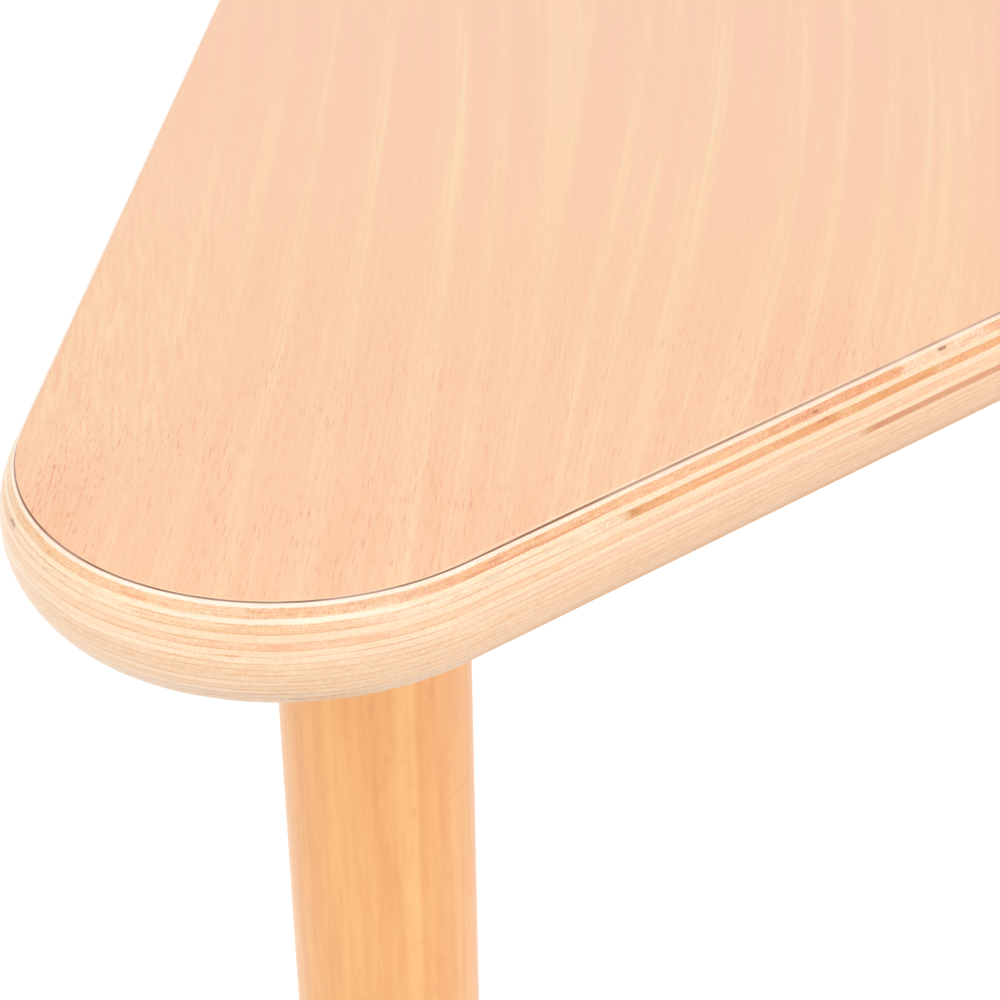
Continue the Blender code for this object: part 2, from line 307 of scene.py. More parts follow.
# %% Grain that follows the streaks
HALF_TURN = math.radians(CORNERS["right"][3] - CORNERS["right"][2]) / 2
APEX_REACH = (CORNER_RADIUS - EDGE_SWELL) / math.cos(HALF_TURN)
APEX = Vector((CORNERS["right"][0] + APEX_REACH * math.sin(HALF_TURN),
               CORNERS["right"][1] - APEX_REACH * math.cos(HALF_TURN)))
PARTING = 107
FAN_START, FAN_END = 310, -100
UPPER_SLOPE, UPPER_CURVE, UPPER_REACH = 0.088, 0.00011, 8
LOWER_SLOPE, LOWER_CURVE, LOWER_REACH = 0.03, 0.0004, 22
SIDE_TILT, SIDE_STRIP = 0.07, (30, 12)


def plan_place(finish):
    """Millimetres along the long side from the corner's apex, and across from that side."""
    x, y, _ = finish.place()
    return (APEX.x - x) / MM, (y - APEX.y) / MM


def streak_distance(finish, along, across):
    """The distance across the grain, bent so that it stays the same along a streak."""
    fan = (FAN_START - along).at_least(FAN_END)
    upper = fan * UPPER_SLOPE - fan * fan * UPPER_CURVE
    lower = fan * LOWER_SLOPE + fan * fan * LOWER_CURVE
    above = (PARTING - across).at_least(0)
    below = (across - PARTING).at_least(0)
    upper_share = 1 - (above * (-1 / UPPER_REACH)).math("EXPONENT")
    lower_share = 1 - (below * (-1 / LOWER_REACH)).math("EXPONENT")
    beside = (FAN_START - along).at_most(0) * finish.rise(across, *SIDE_STRIP)
    return across - upper * upper_share + lower * lower_share - beside * SIDE_TILT


# %% [markdown]
# The streaks that show in the picture are listed: each stop is a distance and how pale the
# decor is there. A streak has a soft side and a sharp side, because a ring of wood grows
# slowly pale and ends at once. A colour ramp holds 32 stops at most, so it keeps to the
# main streaks near the corner. Finer ones and all those further away come from noise that is
# stretched along the grain. One wide pale streak, far from the corner, is a soft oval patch.

# %% Pale streaks
STREAK_SPAN = 210
STREAK_STOPS = [
    (8, 0.0), (14, 0.5), (16.5, 0.0), (27, 0.6), (29.5, 0.0), (38.5, 0.8), (41, 0.0),
    (54, 0.75), (57, 0.0), (74, 1.0), (77, 0.0), (83.5, 0.75), (87, 0.1), (96, 0.4),
    (104, 0.35), (107.5, 0.0), (118.5, 0.75), (121.5, 0.1), (126.5, 0.8), (129.5, 0.15),
    (140.5, 0.9), (143.5, 0.0), (162, 0.8), (164.5, 0.0), (172.5, 0.95), (175.5, 0.0),
    (184.5, 0.75), (187.5, 0.2), (193, 0.65), (203, 0.6), (206, 0.0),
]
STREAK_SHARPNESS = 4.0
REACH_OF_RAMP, END_OF_RAMP = (430, 330), (STREAK_SPAN, STREAK_SPAN - 15)
COARSE_STREAKS, FINE_STREAKS = (380, 8), (110, 1.7)
COARSE_SHOWS, FINE_BREAKS, FINE_SHOWS = (0.48, 0.72), (0.35, 0.6), (0.5, 0.72)
WIDE_STREAK = ((330, 100), (150, 7), 0.45)
UNBROKEN = 0.55
FINE_SHARE = 0.35
PATCH_FADES = (1.0, 0.1)


def soft_patch(finish, first, second, patch):
    """Its strength in the middle of an oval and 0 outside. A patch is (middle, reach, strength)."""
    middle, reach, strength = patch
    off_first = (first - middle[0]) / reach[0]
    off_second = (second - middle[1]) / reach[1]
    return finish.rise(off_first * off_first + off_second * off_second, *PATCH_FADES) * strength


def pale_streaks(finish, along, bent):
    stops = [(place / STREAK_SPAN, pale ** (1 / STREAK_SHARPNESS)) for place, pale in STREAK_STOPS]
    chosen = finish.ramp(bent / STREAK_SPAN, stops, "EASE") ** STREAK_SHARPNESS
    coarse = finish.noise((along, bent), COARSE_STREAKS, RICH)
    fine = finish.noise((along, bent), FINE_STREAKS)
    near = finish.rise(along, *REACH_OF_RAMP) * finish.rise(bent, *END_OF_RAMP)
    main = chosen * near + finish.rise(coarse, *COARSE_SHOWS) * (1 - near)
    main = main * (UNBROKEN + finish.rise(fine, *FINE_BREAKS) * (1 - UNBROKEN))
    wide = soft_patch(finish, along, bent, WIDE_STREAK)
    return main + wide + finish.rise(fine, *FINE_SHOWS) * FINE_SHARE


# %% [markdown]
# Between the streaks the decor shows finer things. Short reddish dashes are the wood's rays,
# cut across. They are made from Voronoi cells that are stretched along the grain: each cell
# tells the place of its middle, and a slender oval is drawn around it. Each cell also has a
# colour by chance, which decides whether its dash is drawn, how long it is and how strong.

# %% Dashes along the grain
SHORTEST, LENGTH_RANGE = 0.55, 0.9
FAINTEST = 0.25
CHOICE_BLUR = 0.02


def dashes(finish, along, across, spacing, size, share):
    """Slender marks in some of the cells: spacing and size are (along, across) in mm."""
    cell = finish.join(along / spacing[0], across / spacing[1])
    settings = {"voronoi_dimensions": "2D", "feature": "F1"}
    inputs = {"Vector": cell, "Scale": 1.0, "Randomness": 1.0}
    chance = finish.node("ShaderNodeTexVoronoi", settings, inputs, "Color")
    chosen, strength, length = finish.split(chance)
    middle_along, middle_across, _ = finish.split(chance.output("Position"))
    reach = (SHORTEST + length * LENGTH_RANGE) * (size[0] / 2)
    off_along = (along - middle_along * spacing[0]) / reach
    off_across = (across - middle_across * spacing[1]) / (size[1] / 2)
    shape = finish.rise(off_along * off_along + off_across * off_across, 1.0, 0.0)
    drawn = finish.rise(chosen, 1 - share, 1 + CHOICE_BLUR - share)
    return shape * drawn * (FAINTEST + strength * (1 - FAINTEST))


# %% [markdown]
# Fine strands and a mottle run along the grain. Beside the long side they turn into a ripple,
# whose lines cross the grain at a slant and wave a little. All of this is collected in one
# number, the paleness, and a single colour ramp will turn it into the tones of beech, from
# reddish to straw. A table tells how much each mark adds, so that it can be tuned in one place.

# %% Paleness of the decor
STRANDS, MOTTLE, HAIRS = (38, 0.9), (7, 1.0), (10, 0.42)
RIPPLES, RIPPLE_BEND, RIPPLE_MIDDLE, RIPPLE_SLOPE = (16, 1.2), 0.5, 0.47, 0.2
WAVES, WAVE_WIDTH = (18, 9), 3.0
RIPPLE_STARTS, RIPPLE_ENDS, RIPPLE_STRIP = (118, 145), (330, 240), (38, 22)
RED_PATCHES = [
    ((108, 14), (34, 9), 1.0), ((172, 165), (50, 20), 0.9), ((114, 92), (26, 34), 0.6),
]
FAR_AWAY = (140, 330)
GRAIN_PARTS = {"strands": 0.75, "mottle": 0.35, "ripple": 1.5}
PALENESS = {
    "plain": 0.38, "far": 0.04, "streaks": 0.31, "far_streaks": 0.13, "grain": 0.88,
    "hairs": 0.18, "far_softness": 0.5, "ripple_strip": 0.08, "red": 0.09,
}


def side_ripple(finish, along, across):
    """The ripple beside the long side, around 0, and where it shows, from 0 to 1."""
    wave = finish.swing((along, across), WAVES, SMOOTH)
    crosswise = across + along * RIPPLE_SLOPE + wave * WAVE_WIDTH
    ripple = finish.noise((along, crosswise), RIPPLES, SMOOTH, distortion=RIPPLE_BEND)
    shows = finish.rise(along, *RIPPLE_STARTS) * finish.rise(along, *RIPPLE_ENDS)
    return ripple - RIPPLE_MIDDLE, shows * finish.rise(across, *RIPPLE_STRIP)


def decor_paleness(finish, along, across, straight, bent):
    strands = finish.swing((along, bent), STRANDS, RICH)
    mottle = finish.swing((along, bent), MOTTLE, SMOOTH)
    hairs = finish.swing((along, straight), HAIRS, SMOOTH)
    ripple, beside = side_ripple(finish, along, across)
    grain = strands * GRAIN_PARTS["strands"] + mottle * GRAIN_PARTS["mottle"]
    grain = grain * (1 - beside) + ripple * beside * GRAIN_PARTS["ripple"]
    red = sum(soft_patch(finish, along, across, patch) for patch in RED_PATCHES)
    pale = pale_streaks(finish, along, bent)
    far = finish.rise(along, *FAR_AWAY)

    part = PALENESS
    level = part["plain"] + far * part["far"]
    level = level + pale * (part["streaks"] + far * part["far_streaks"])
    figure = grain * part["grain"] + hairs * part["hairs"]
    level = level + figure * (1 - far * part["far_softness"])
    return level + beside * part["ripple_strip"] - red * part["red"], grain, red, pale


# %% [markdown]
# The rays of the wood come over the tones: a few clear dashes, short dots beside the long side,
# and many faint flecks of uneven length. They are dense and strong at the corner, and further
# away they nearly vanish, because the picture no longer shows anything so fine there.

# %% Rays of the decor
CLEAR_DASHES = {"spacing": (7.5, 1.8), "size": (5.6, 0.45), "share": 0.65}
DOTS = {"spacing": (3.4, 1.2), "size": (2.5, 0.42), "share": 0.7}
CLEAR_STRENGTH, DOT_STRENGTH, FLECK_STRENGTH = 0.5, 0.6, 0.5
DOT_STRIP, DOT_REACH, DOT_REMAINS = (50, 28), (190, 130), 0.3
FLECKS, FLECK_SHOWS = (5.5, 0.5), (0.54, 0.8)
DENSER_PATCHES, DENSER_SHOWS = (40, 7), (0.4, 0.65)
EVERYWHERE, MORE_IN_PATCHES, MORE_ON_RED = 0.5, 0.5, 0.5
RAYS_FADE, RAYS_LOST = (120, 290), 0.85


def beech_rays(finish, along, across, straight, wander, red):
    patches = finish.noise((along, straight), DENSER_PATCHES, SMOOTH)
    uneven = EVERYWHERE + finish.rise(patches, *DENSER_SHOWS) * MORE_IN_PATCHES
    uneven = uneven + red * MORE_ON_RED
    clear = dashes(finish, along, straight + wander, **CLEAR_DASHES)
    dots = dashes(finish, along, straight, **DOTS)
    fleck = finish.noise((along, straight), FLECKS, SMOOTH)
    beside = finish.rise(across, *DOT_STRIP)
    near_corner = finish.rise(along, *DOT_REACH) * (1 - DOT_REMAINS) + DOT_REMAINS
    rays = clear * CLEAR_STRENGTH * (1 - beside) + dots * beside * near_corner * DOT_STRENGTH
    rays = rays + finish.rise(fleck, *FLECK_SHOWS) * FLECK_STRENGTH
    return rays * uneven * (1 - finish.rise(along, *RAYS_FADE) * RAYS_LOST)


# %% [markdown]
# The laminate's own edge shows its layers: the thin printed sheet, and the dark core under it,
# which grows paler in two steps towards its foot. A ramp over the depth draws them with hard
# limits, a little lower round the corner. In some places the dark line is rubbed pale: in
# patches by noise, along the long side, and on one stretch of the short side, where the rim
# of the worktop has turned pale as well. The two sides meet at 45 degrees, and SLANT, that
# angle's cosine, gives the distance along the short side and the distance in from it.

# %% The laminate's edge
LAMINATE_EDGE = [
    (0.0, tone(250, 212, 172)), (0.06, tone(124, 84, 66)), (0.24, tone(172, 118, 92)),
    (0.4, tone(224, 176, 152)),
]
WORN_EDGE = tone(232, 200, 182)
PALE_RIM = tone(254, 230, 200)
SLANT = math.cos(math.radians(45))
LOWER_LINE = ((85, 70), (60, 60), 0.14)
WORN_PATCHES, WORN_SHOWS, WORN_SHARE = (24, 24), (0.42, 0.72), 0.5
WORN_STRETCH = ((290, 0), (110, 60), 0.45)
WORN_SIDE_STARTS, WORN_SIDE_ENDS = (112, 145), (700, 500)
WORN_SIDE_STRIP, WORN_SIDE_SHARE = (14, 6), 0.75
RIM = ((190, 0.38), (80, 0.26), 1.0)
PRINTED_SHEET = (0.04, 0.06)


def laminate_edge(finish, along, across, colour):
    """Puts the pale rim on the worktop's colour and draws the layers of the edge under it."""
    depth = TABLE_TOP / MM - finish.place()[2] / MM
    lower = soft_patch(finish, along, across, LOWER_LINE)
    edge = finish.ramp(depth - lower, LAMINATE_EDGE, "CONSTANT")
    rubbed = finish.noise((along, across), WORN_PATCHES)
    short_along, short_in = (along + across) * SLANT, (along - across) * SLANT
    worn = finish.rise(rubbed, *WORN_SHOWS) * WORN_SHARE
    worn = worn + soft_patch(finish, short_along, short_in, WORN_STRETCH)
    long_side = finish.rise(along, *WORN_SIDE_STARTS) * finish.rise(along, *WORN_SIDE_ENDS)
    worn = worn + long_side * finish.rise(across, *WORN_SIDE_STRIP) * WORN_SIDE_SHARE
    edge = finish.blend(worn, edge, WORN_EDGE)
    colour = finish.blend(soft_patch(finish, short_along, short_in, RIM), colour, PALE_RIM)
    return finish.blend(finish.rise(depth, *PRINTED_SHEET), colour, edge)


# %% [markdown]
# Now the parts come together. The streaks sway a little and have ragged sides, so the distance
# across the grain is shifted by two noises before anything is drawn on it. Between the pale
# streaks the beech turns pinker with the distance from the corner. The surface is a matt print,
# and its relief is so fine that it only breaks the gloss.

# %% The decor's finish
BEECH_TONES = [
    (0.0, tone(247, 184, 147)), (0.22, tone(251, 197, 158)), (0.45, tone(252, 205, 166)),
    (0.7, tone(253, 213, 171)), (1.0, tone(254, 222, 181)),
]
PINK_BEECH = tone(253, 205, 179)
PINK_AWAY, PINK_SHARE, PINK_LEFT_OUT = (130, 360), 0.55, 0.8
RAY_RED = tone(237, 150, 120)
STREAK_SWAY, SWAY_WIDTH = (80, 12), 1.4
RAGGED_SIDES, RAGGED_WIDTH = (8, 1.6), 1.0
DECOR_MATT, DECOR_UNEVEN = 0.46, 0.15
RAY_HOLLOW, PRINT_RELIEF, PRINT_STRENGTH = 0.6, 0.02 * MM, 0.5


def make_decor():
    finish = Finish("beech_decor", {"IOR": 1.42})
    along, across = plan_place(finish)
    straight = streak_distance(finish, along, across)
    wander = finish.swing((along, straight), STREAK_SWAY, SMOOTH)
    ragged = finish.swing((along, straight), RAGGED_SIDES, SMOOTH)
    bent = straight + wander * SWAY_WIDTH + ragged * RAGGED_WIDTH

    level, grain, red, pale = decor_paleness(finish, along, across, straight, bent)
    colour = finish.ramp(level, BEECH_TONES)
    pink = finish.rise(along, *PINK_AWAY) * (1 - pale * PINK_LEFT_OUT) * PINK_SHARE
    colour = finish.blend(pink, colour, PINK_BEECH)
    rays = beech_rays(finish, along, across, straight, wander, red)
    colour = finish.blend(rays, colour, RAY_RED)
    finish.feed("Base Color", laminate_edge(finish, along, across, colour))
    finish.feed("Roughness", DECOR_MATT + grain * DECOR_UNEVEN)
    finish.bump(grain - rays * RAY_HOLLOW, PRINT_RELIEF, PRINT_STRENGTH)
    return finish


decor = make_decor()
print("decor nodes:", len(decor.tree.nodes))

# %% [markdown]
# ## The plywood
#
# Birch plywood is a stack of thin sheets, and each sheet's grain lies square to the next one.
# At the edge a sheet shows either its long fibres, pale and even, or its end grain, darker
# and pinker. The core's mesh carries a UV map whose U is the distance along the outline and
# whose V is the height, so a sheet is a range of V. Each sheet is given by its lower limit, as
# a depth under the worktop, by its colour and by how strongly its end grain shows.

# %% Layers of the plywood
VENEERS = {
    "white": (253, 234, 211), "pale": (253, 224, 189), "cream": (253, 219, 183),
    "straw": (248, 213, 175), "sand": (249, 211, 170), "salmon": (250, 204, 165),
    "dusky": (241, 209, 174),
}
SHEETS = [
    (1.2, "white", 0.0), (2.9, "salmon", 1.0), (4.12, "pale", 0.05), (5.75, "salmon", 0.75),
    (7.45, "cream", 0.05), (8.9, "salmon", 0.55), (10.37, "cream", 0.1), (11.92, "salmon", 0.3),
    (13.4, "straw", 0.1), (14.85, "sand", 0.5), (16.45, "straw", 0.1), (17.9, "sand", 0.45),
    (19.15, "straw", 0.1), (20.7, "sand", 0.4), (22.2, "dusky", 0.1), (23.3, "dusky", 0.3),
    (24.6, "dusky", 0.1),
]
TOP_DEPTH = TOP_THICKNESS / MM


def sheet_colours(finish, depth):
    """The colour of the sheet at a depth, a number for each sheet and its share of figure."""
    starts = [0.0] + [limit for limit, _, _ in SHEETS[:-1]]
    places = [start / TOP_DEPTH for start in starts]
    share = depth / TOP_DEPTH
    colours = [(place, tone(*VENEERS[kind])) for place, (_, kind, _) in zip(places, SHEETS)]
    numbers = [(place, k / len(SHEETS)) for k, place in enumerate(places)]
    figures = [(place, figure) for place, (_, _, figure) in zip(places, SHEETS)]
    return (finish.ramp(share, colours, "CONSTANT"), finish.ramp(share, numbers, "CONSTANT"),
            finish.ramp(share, figures, "CONSTANT"))


# %% [markdown]
# Some sheets change along the edge: the fourth one is pale at the corner and strongly orange
# further on, because two pieces of veneer meet there. A ramp along the edge paints each of
# those sheets. Knots, stains and two pale spots of painted glint are spots listed one by one,
# whose outline noise makes uneven. Every place is a distance along the edge from where the
# corner's arc starts, in millimetres.

# %% Veneers that change along the edge
GLUE_SOFT = 0.08
RAMP_SPAN = 300
SECOND_SHEET = [
    (0, (246, 208, 166)), (45, (244, 196, 148)), (72, (243, 194, 148)), (88, (245, 204, 164)),
    (108, (242, 187, 143)), (128, (243, 194, 154)), (146, (241, 180, 134)), (156, (245, 190, 144)),
    (215, (245, 188, 144)), (240, (240, 174, 128)), (264, (243, 173, 122)),
    (267, (251, 212, 176)), (290, (251, 210, 174)), (295, (247, 188, 148)),
]
FOURTH_SHEET = [
    (0, (243, 200, 154)), (27, (240, 190, 140)), (34, (250, 214, 177)), (74, (251, 220, 185)),
    (75, (246, 208, 166)), (104, (244, 197, 152)), (118, (244, 196, 156)),
    (134, (250, 220, 188)), (183, (250, 220, 186)), (187, (228, 158, 98)),
    (200, (242, 179, 124)), (222, (244, 185, 136)), (231, (237, 169, 110)),
    (244, (229, 155, 94)), (246, (242, 184, 132)), (256, (235, 165, 102)),
    (274, (233, 161, 98)), (276, (244, 190, 142)), (281, (238, 170, 112)),
]
EIGHTH_SHEET = [
    (0, (252, 222, 190)), (70, (253, 226, 192)), (120, (252, 220, 186)),
    (170, (248, 208, 174)), (250, (246, 202, 168)), (253, (224, 174, 112)),
    (256, (214, 146, 100)), (300, (222, 158, 112)),
]
# Each spot is (place along the edge, depth, length, thickness, colour). Most are knots and stains.
# The two pale spots on the corner's arc at depths 0.85 and 3.5 are a painted glint of the lacquer.
STAINS_AND_GLINTS = [
    (74, 2.5, 3.2, 0.5, (242, 164, 118)), (148, 2.6, 4.0, 0.35, (230, 150, 104)),
    (152, 1.9, 4.0, 0.35, (228, 148, 104)), (205, 2.1, 0.6, 0.3, (226, 152, 112)),
    (231, 2.5, 0.9, 0.35, (226, 140, 96)), (239.5, 2.2, 1.6, 0.4, (180, 96, 56)),
    (265, 1.9, 0.9, 0.6, (232, 156, 106)), (278.5, 1.6, 1.5, 0.45, (156, 90, 52)),
    (31, 4.6, 3.2, 0.8, (168, 130, 84)), (150.5, 4.6, 2.8, 0.8, (233, 208, 178)),
    (170.5, 4.7, 2.2, 0.7, (236, 204, 168)), (187, 4.8, 1.5, 0.8, (206, 140, 82)),
    (235, 5.0, 7.5, 0.8, (236, 162, 104)), (241, 4.3, 2.4, 0.4, (214, 118, 66)),
    (104, 8.1, 3.4, 0.8, (245, 182, 138)), (122, 8.2, 5.0, 0.7, (247, 190, 150)),
    (95, 10.3, 2.2, 0.2, (230, 154, 106)), (84, 11.9, 9.0, 0.3, (240, 182, 128)),
    (193, 17.2, 3.2, 0.8, (230, 182, 142)), (107, 22.8, 2.2, 0.35, (190, 132, 98)),
    (100, 20.6, 34.0, 0.16, (204, 172, 142)), (163, 2.75, 26.0, 0.3, (232, 150, 104)),
    (98, 0.85, 42.0, 0.35, (254, 237, 222)), (104, 3.5, 36.0, 0.55, (253, 233, 212)),
    (82, 17.2, 34.0, 0.75, (252, 222, 190)), (82, 19.9, 26.0, 0.8, (248, 218, 190)),
    (88, 4.5, 11.0, 0.45, (252, 216, 178)), (214, 5.35, 15.0, 0.35, (236, 158, 98)),
    (30, 8.2, 60.0, 0.8, (249, 213, 173)), (40, 5.0, 16.0, 0.3, (250, 222, 194)),
    (108, 22.35, 44.0, 0.14, (204, 158, 126)),
]


def along_ramp(finish, distance, stops):
    ramp_stops = [(place / RAMP_SPAN, tone(*colour)) for place, colour in stops]
    return finish.ramp(distance / RAMP_SPAN, ramp_stops)


def band(finish, depth, start, end):
    """1 between two depths, with edges as soft as a glue line."""
    below_start = finish.rise(depth, start - GLUE_SOFT, start + GLUE_SOFT)
    return below_start * finish.rise(depth, end + GLUE_SOFT, end - GLUE_SOFT)


# %% [markdown]
# Over its colour each sheet has a fine figure: long fibres, a hatch that slants both ways,
# upright pores, clouds, grit and patches. All of them are noise with grains of many shapes.
# The figure is strongest where a sheet turns its end grain outwards. Thin brown glue lines lie
# between the sheets, and they too are stronger in some places than in others.

# %% Glue lines and figure
FIRST_GLUE_LINE = 2
GLUE_WIDTH = (0.22, 0.04)
GLUE_PATCHES, GLUE_SHOWS, GLUE_FAINTEST = (14, 0.9), (0.4, 0.66), 0.42
FIBRES, FIBRE_DRIFT = (10, 0.22), 0.02
HATCHES, HATCH_LEAN, HATCH_BEND = (0.5, 2.2), 1.4, 0.4
CLOUDS, CLOUD_BEND = (2.6, 0.5), 0.6
PORES, GRAINS_OF_GRIT = (0.3, 1.3), (0.35, 0.25)
SHEET_PATCHES = (13, 1)
APART = {"fibre": 19, "hatch": 31, "pore": 7, "cloud": 13, "grit": 5, "patch": (37, 11)}


def glue_lines(finish, depth, distance):
    lines = sum(finish.rise((depth - limit).math("ABSOLUTE"), *GLUE_WIDTH)
                for limit, _, _ in SHEETS[FIRST_GLUE_LINE:-1])
    strength = finish.noise((distance, depth), GLUE_PATCHES)
    return lines * (GLUE_FAINTEST + finish.rise(strength, *GLUE_SHOWS) * (1 - GLUE_FAINTEST))


def veneer_figure(finish, distance, depth, number):
    """Marks around 0. The sheet's number shifts each noise, so that no two sheets are alike."""
    fibre = finish.swing((distance, depth + distance * FIBRE_DRIFT), FIBRES, RICH, ROUGH,
                         layer=number * APART["fibre"])
    hatch = sum(finish.swing((distance - depth * lean, distance + depth), HATCHES,
                             DETAIL, ROUGH, HATCH_BEND, layer=number * APART["hatch"])
                for lean in (HATCH_LEAN, -HATCH_LEAN))
    pore = finish.swing((distance, depth), PORES, SMOOTH, layer=number * APART["pore"])
    cloud = finish.swing((distance - depth, depth), CLOUDS, RICH, ROUGH, CLOUD_BEND,
                         layer=number * APART["cloud"])
    grit = finish.swing((distance, depth), GRAINS_OF_GRIT, SMOOTH, layer=number * APART["grit"])
    across_sheets, layer = (number * share for share in APART["patch"])
    patch = finish.swing((distance, across_sheets), SHEET_PATCHES, RICH, ROUGH, layer=layer)
    return {"patch": patch, "fibre": fibre, "pore": pore, "hatch": hatch, "cloud": cloud,
            "grit": grit}


# %% [markdown]
# Then the edge is put together, sheet colours first. The sheets' limits waver a little. The
# lower half is darkened as painted shade, most of all along the short side, and further along
# that side the whole edge is darkened with painted shade too. At its foot there the lacquer
# is thin and matt. The stains and the painted glints come last, and the figure itself makes
# their outlines uneven.

# %% The edge of the plywood
GLUE_BROWN, GLUE_SHARE = tone(226, 156, 94), 0.65
ORANGE_WOOD = tone(240, 172, 110)
WAVERS, WAVER_HEIGHT = (22, 7), 0.4
ROUGH_SPOTS, ROUGH_HEIGHT, ROUGH_WIDTH = (1.2, 1.5), 0.3, 4
PAINTED_SHEETS = (
    (1.2, 2.9, SECOND_SHEET), (4.12, 5.75, FOURTH_SHEET), (10.37, 11.92, EIGHTH_SHEET),
)
PAINTED_END = (306, 296)
FIGURE_SHARES = {
    "patch": (0.2, 0.2), "fibre": (0.5, 0.6), "pore": (0.2, 0.4), "hatch": (0.16, 0.35),
    "cloud": (0.2, 0.7),
}
GRIT_SHARE = 0.45
SHORT_SIDE_STARTS, FAR_STARTS, SHORT_SIDE_ENDS = (115, 170), (140, 270), (1100, 700)
LOWER_HALF, MATT_PART = (9, 24), (20.5, 23.5)
# Painted shade on the edge: how much darker its lower half is, more on the short side, and how much
# darker the whole edge is further along that side.
LOWER_SHADE, SIDE_SHADE, FAR_SHADE = 0.1, 0.14, 0.08
ORANGE_HATCH, ORANGE_SHOWS, ORANGE_SHARES = 0.4, (0.04, 0.34), (0.08, 0.5)
SPOT_SHARE, SPOT_SHIFT, SPOT_LIFT = 0.8, 2.4, 0.5
HATCH_RELIEF = 0.5


def edge_figure(figure, figured):
    """The sum of all marks. A share is what shows on long fibres and what end grain adds."""
    change = sum(figure[name] * (plain + figured * more)
                 for name, (plain, more) in FIGURE_SHARES.items())
    return change + figure["grit"] * GRIT_SHARE


def edge_colour(finish):
    unrolled = finish.node("ShaderNodeUVMap", {"uv_map": "edge_unrolled"})
    distance, height, _ = finish.split(unrolled)
    distance = distance / MM
    depth = (TABLE_TOP - height) / MM
    waver = finish.swing((distance, depth), WAVERS, SMOOTH)
    rough = finish.swing((distance, depth), ROUGH_SPOTS, DETAIL, ROUGHER)
    depth_here = depth + waver * WAVER_HEIGHT + rough * ROUGH_HEIGHT
    colour, number, figured = sheet_colours(finish, depth_here)

    near = finish.rise(distance, *PAINTED_END)
    for start, end, stops in PAINTED_SHEETS:
        veneer = along_ramp(finish, distance + rough * ROUGH_WIDTH, stops)
        colour = finish.blend(band(finish, depth_here, start, end) * near, colour, veneer)

    figure = veneer_figure(finish, distance, depth, number)
    before_end = finish.rise(distance, *SHORT_SIDE_ENDS)
    side = finish.rise(distance, *SHORT_SIDE_STARTS) * before_end
    far = finish.rise(distance, *FAR_STARTS) * before_end
    # Painted shade: darker lower down, more so along the short side, and darker all over further
    # along it.
    shade = finish.rise(depth, *LOWER_HALF) * (LOWER_SHADE + side * SIDE_SHADE)
    change = edge_figure(figure, figured) - shade - far * FAR_SHADE
    plain, more = ORANGE_SHARES
    clouds = figure["hatch"] * ORANGE_HATCH + figure["cloud"] + figure["patch"]
    orange = finish.rise(clouds, *ORANGE_SHOWS) * (plain + figured * more)
    colour = finish.blend(orange, colour, ORANGE_WOOD)
    colour = finish.deepen(colour, change)
    glue = glue_lines(finish, depth_here, distance) * GLUE_SHARE
    colour = finish.blend(glue, colour, GLUE_BROWN)

    uneven_distance = distance + (figure["hatch"] + figure["pore"]) * SPOT_SHIFT
    uneven_depth = depth_here + (rough + figure["fibre"]) * SPOT_LIFT
    # Knots, stains and the painted glint of the lacquer are laid over the colour one after the
    # other.
    for place, level, length, thickness, stain_or_glint in STAINS_AND_GLINTS:
        patch = ((place, level), (length, thickness), SPOT_SHARE)
        spot = soft_patch(finish, uneven_distance, uneven_depth, patch)
        colour = finish.blend(spot, colour, tone(*stain_or_glint))
    matt = finish.rise(depth, *MATT_PART) * side
    relief = figure["fibre"] + figure["hatch"] * HATCH_RELIEF + figure["pore"] + figure["grit"]
    return colour, relief, figure["grit"], matt


# %% [markdown]
# The core's finish has to serve two kinds of surface. The edge shows the sheets, and the
# underside shows one sheet of face veneer with its grain along the long side: wide rings, cut
# flat, and fine pores. The height tells the two apart. Both are lacquered. A clear coat lies
# over the wood and gives the soft sheen, broken by the grit of the edge.

# %% The plywood's finish
RING_SWAY, SWAY_OF_RINGS = (420, 90), 70
RINGS, RINGS_SHOW = (900, 11), (0.3, 0.7)
FACE_DARK, FACE_PALE = tone(245, 215, 178), tone(251, 229, 199)
FACE_FIBRES, FACE_LIGHT, FACE_UNEVEN = (30, 0.7), 0.95, 0.1
FACE_PORES = {"spacing": (14.0, 3.0), "size": (9.0, 0.5), "share": 0.3}
PORE_BROWN, PORE_SHARE = tone(206, 156, 112), 0.4
EDGE_BEGINS = (TOP_BOTTOM + 0.02 * MM, TOP_BOTTOM + 0.06 * MM)
WOOD_MATT, RELIEF_MATT, BARE_MATT = 0.44, 0.12, 0.3
COAT_LEAST, GRIT_OPENS, COAT_LOST = 0.25, (0.0, 0.1), 0.8
EDGE_RELIEF, FACE_RELIEF, WOOD_RELIEF, WOOD_STRENGTH = 0.6, 0.3, 0.1 * MM, 0.8


def veneer_colour(finish):
    x, y, _ = finish.place()
    along, across = x / MM, y / MM
    bend = finish.noise((along, across), RING_SWAY, SMOOTH) * SWAY_OF_RINGS
    rings = finish.noise((along, across + bend), RINGS)
    fine = finish.noise((along, across), FACE_FIBRES)
    colour = finish.blend(finish.rise(rings, *RINGS_SHOW), FACE_DARK, FACE_PALE)
    marks = dashes(finish, along, across, **FACE_PORES)
    colour = finish.blend(marks * PORE_SHARE, colour, PORE_BROWN)
    return finish.brighten(colour, FACE_LIGHT + fine * FACE_UNEVEN), fine


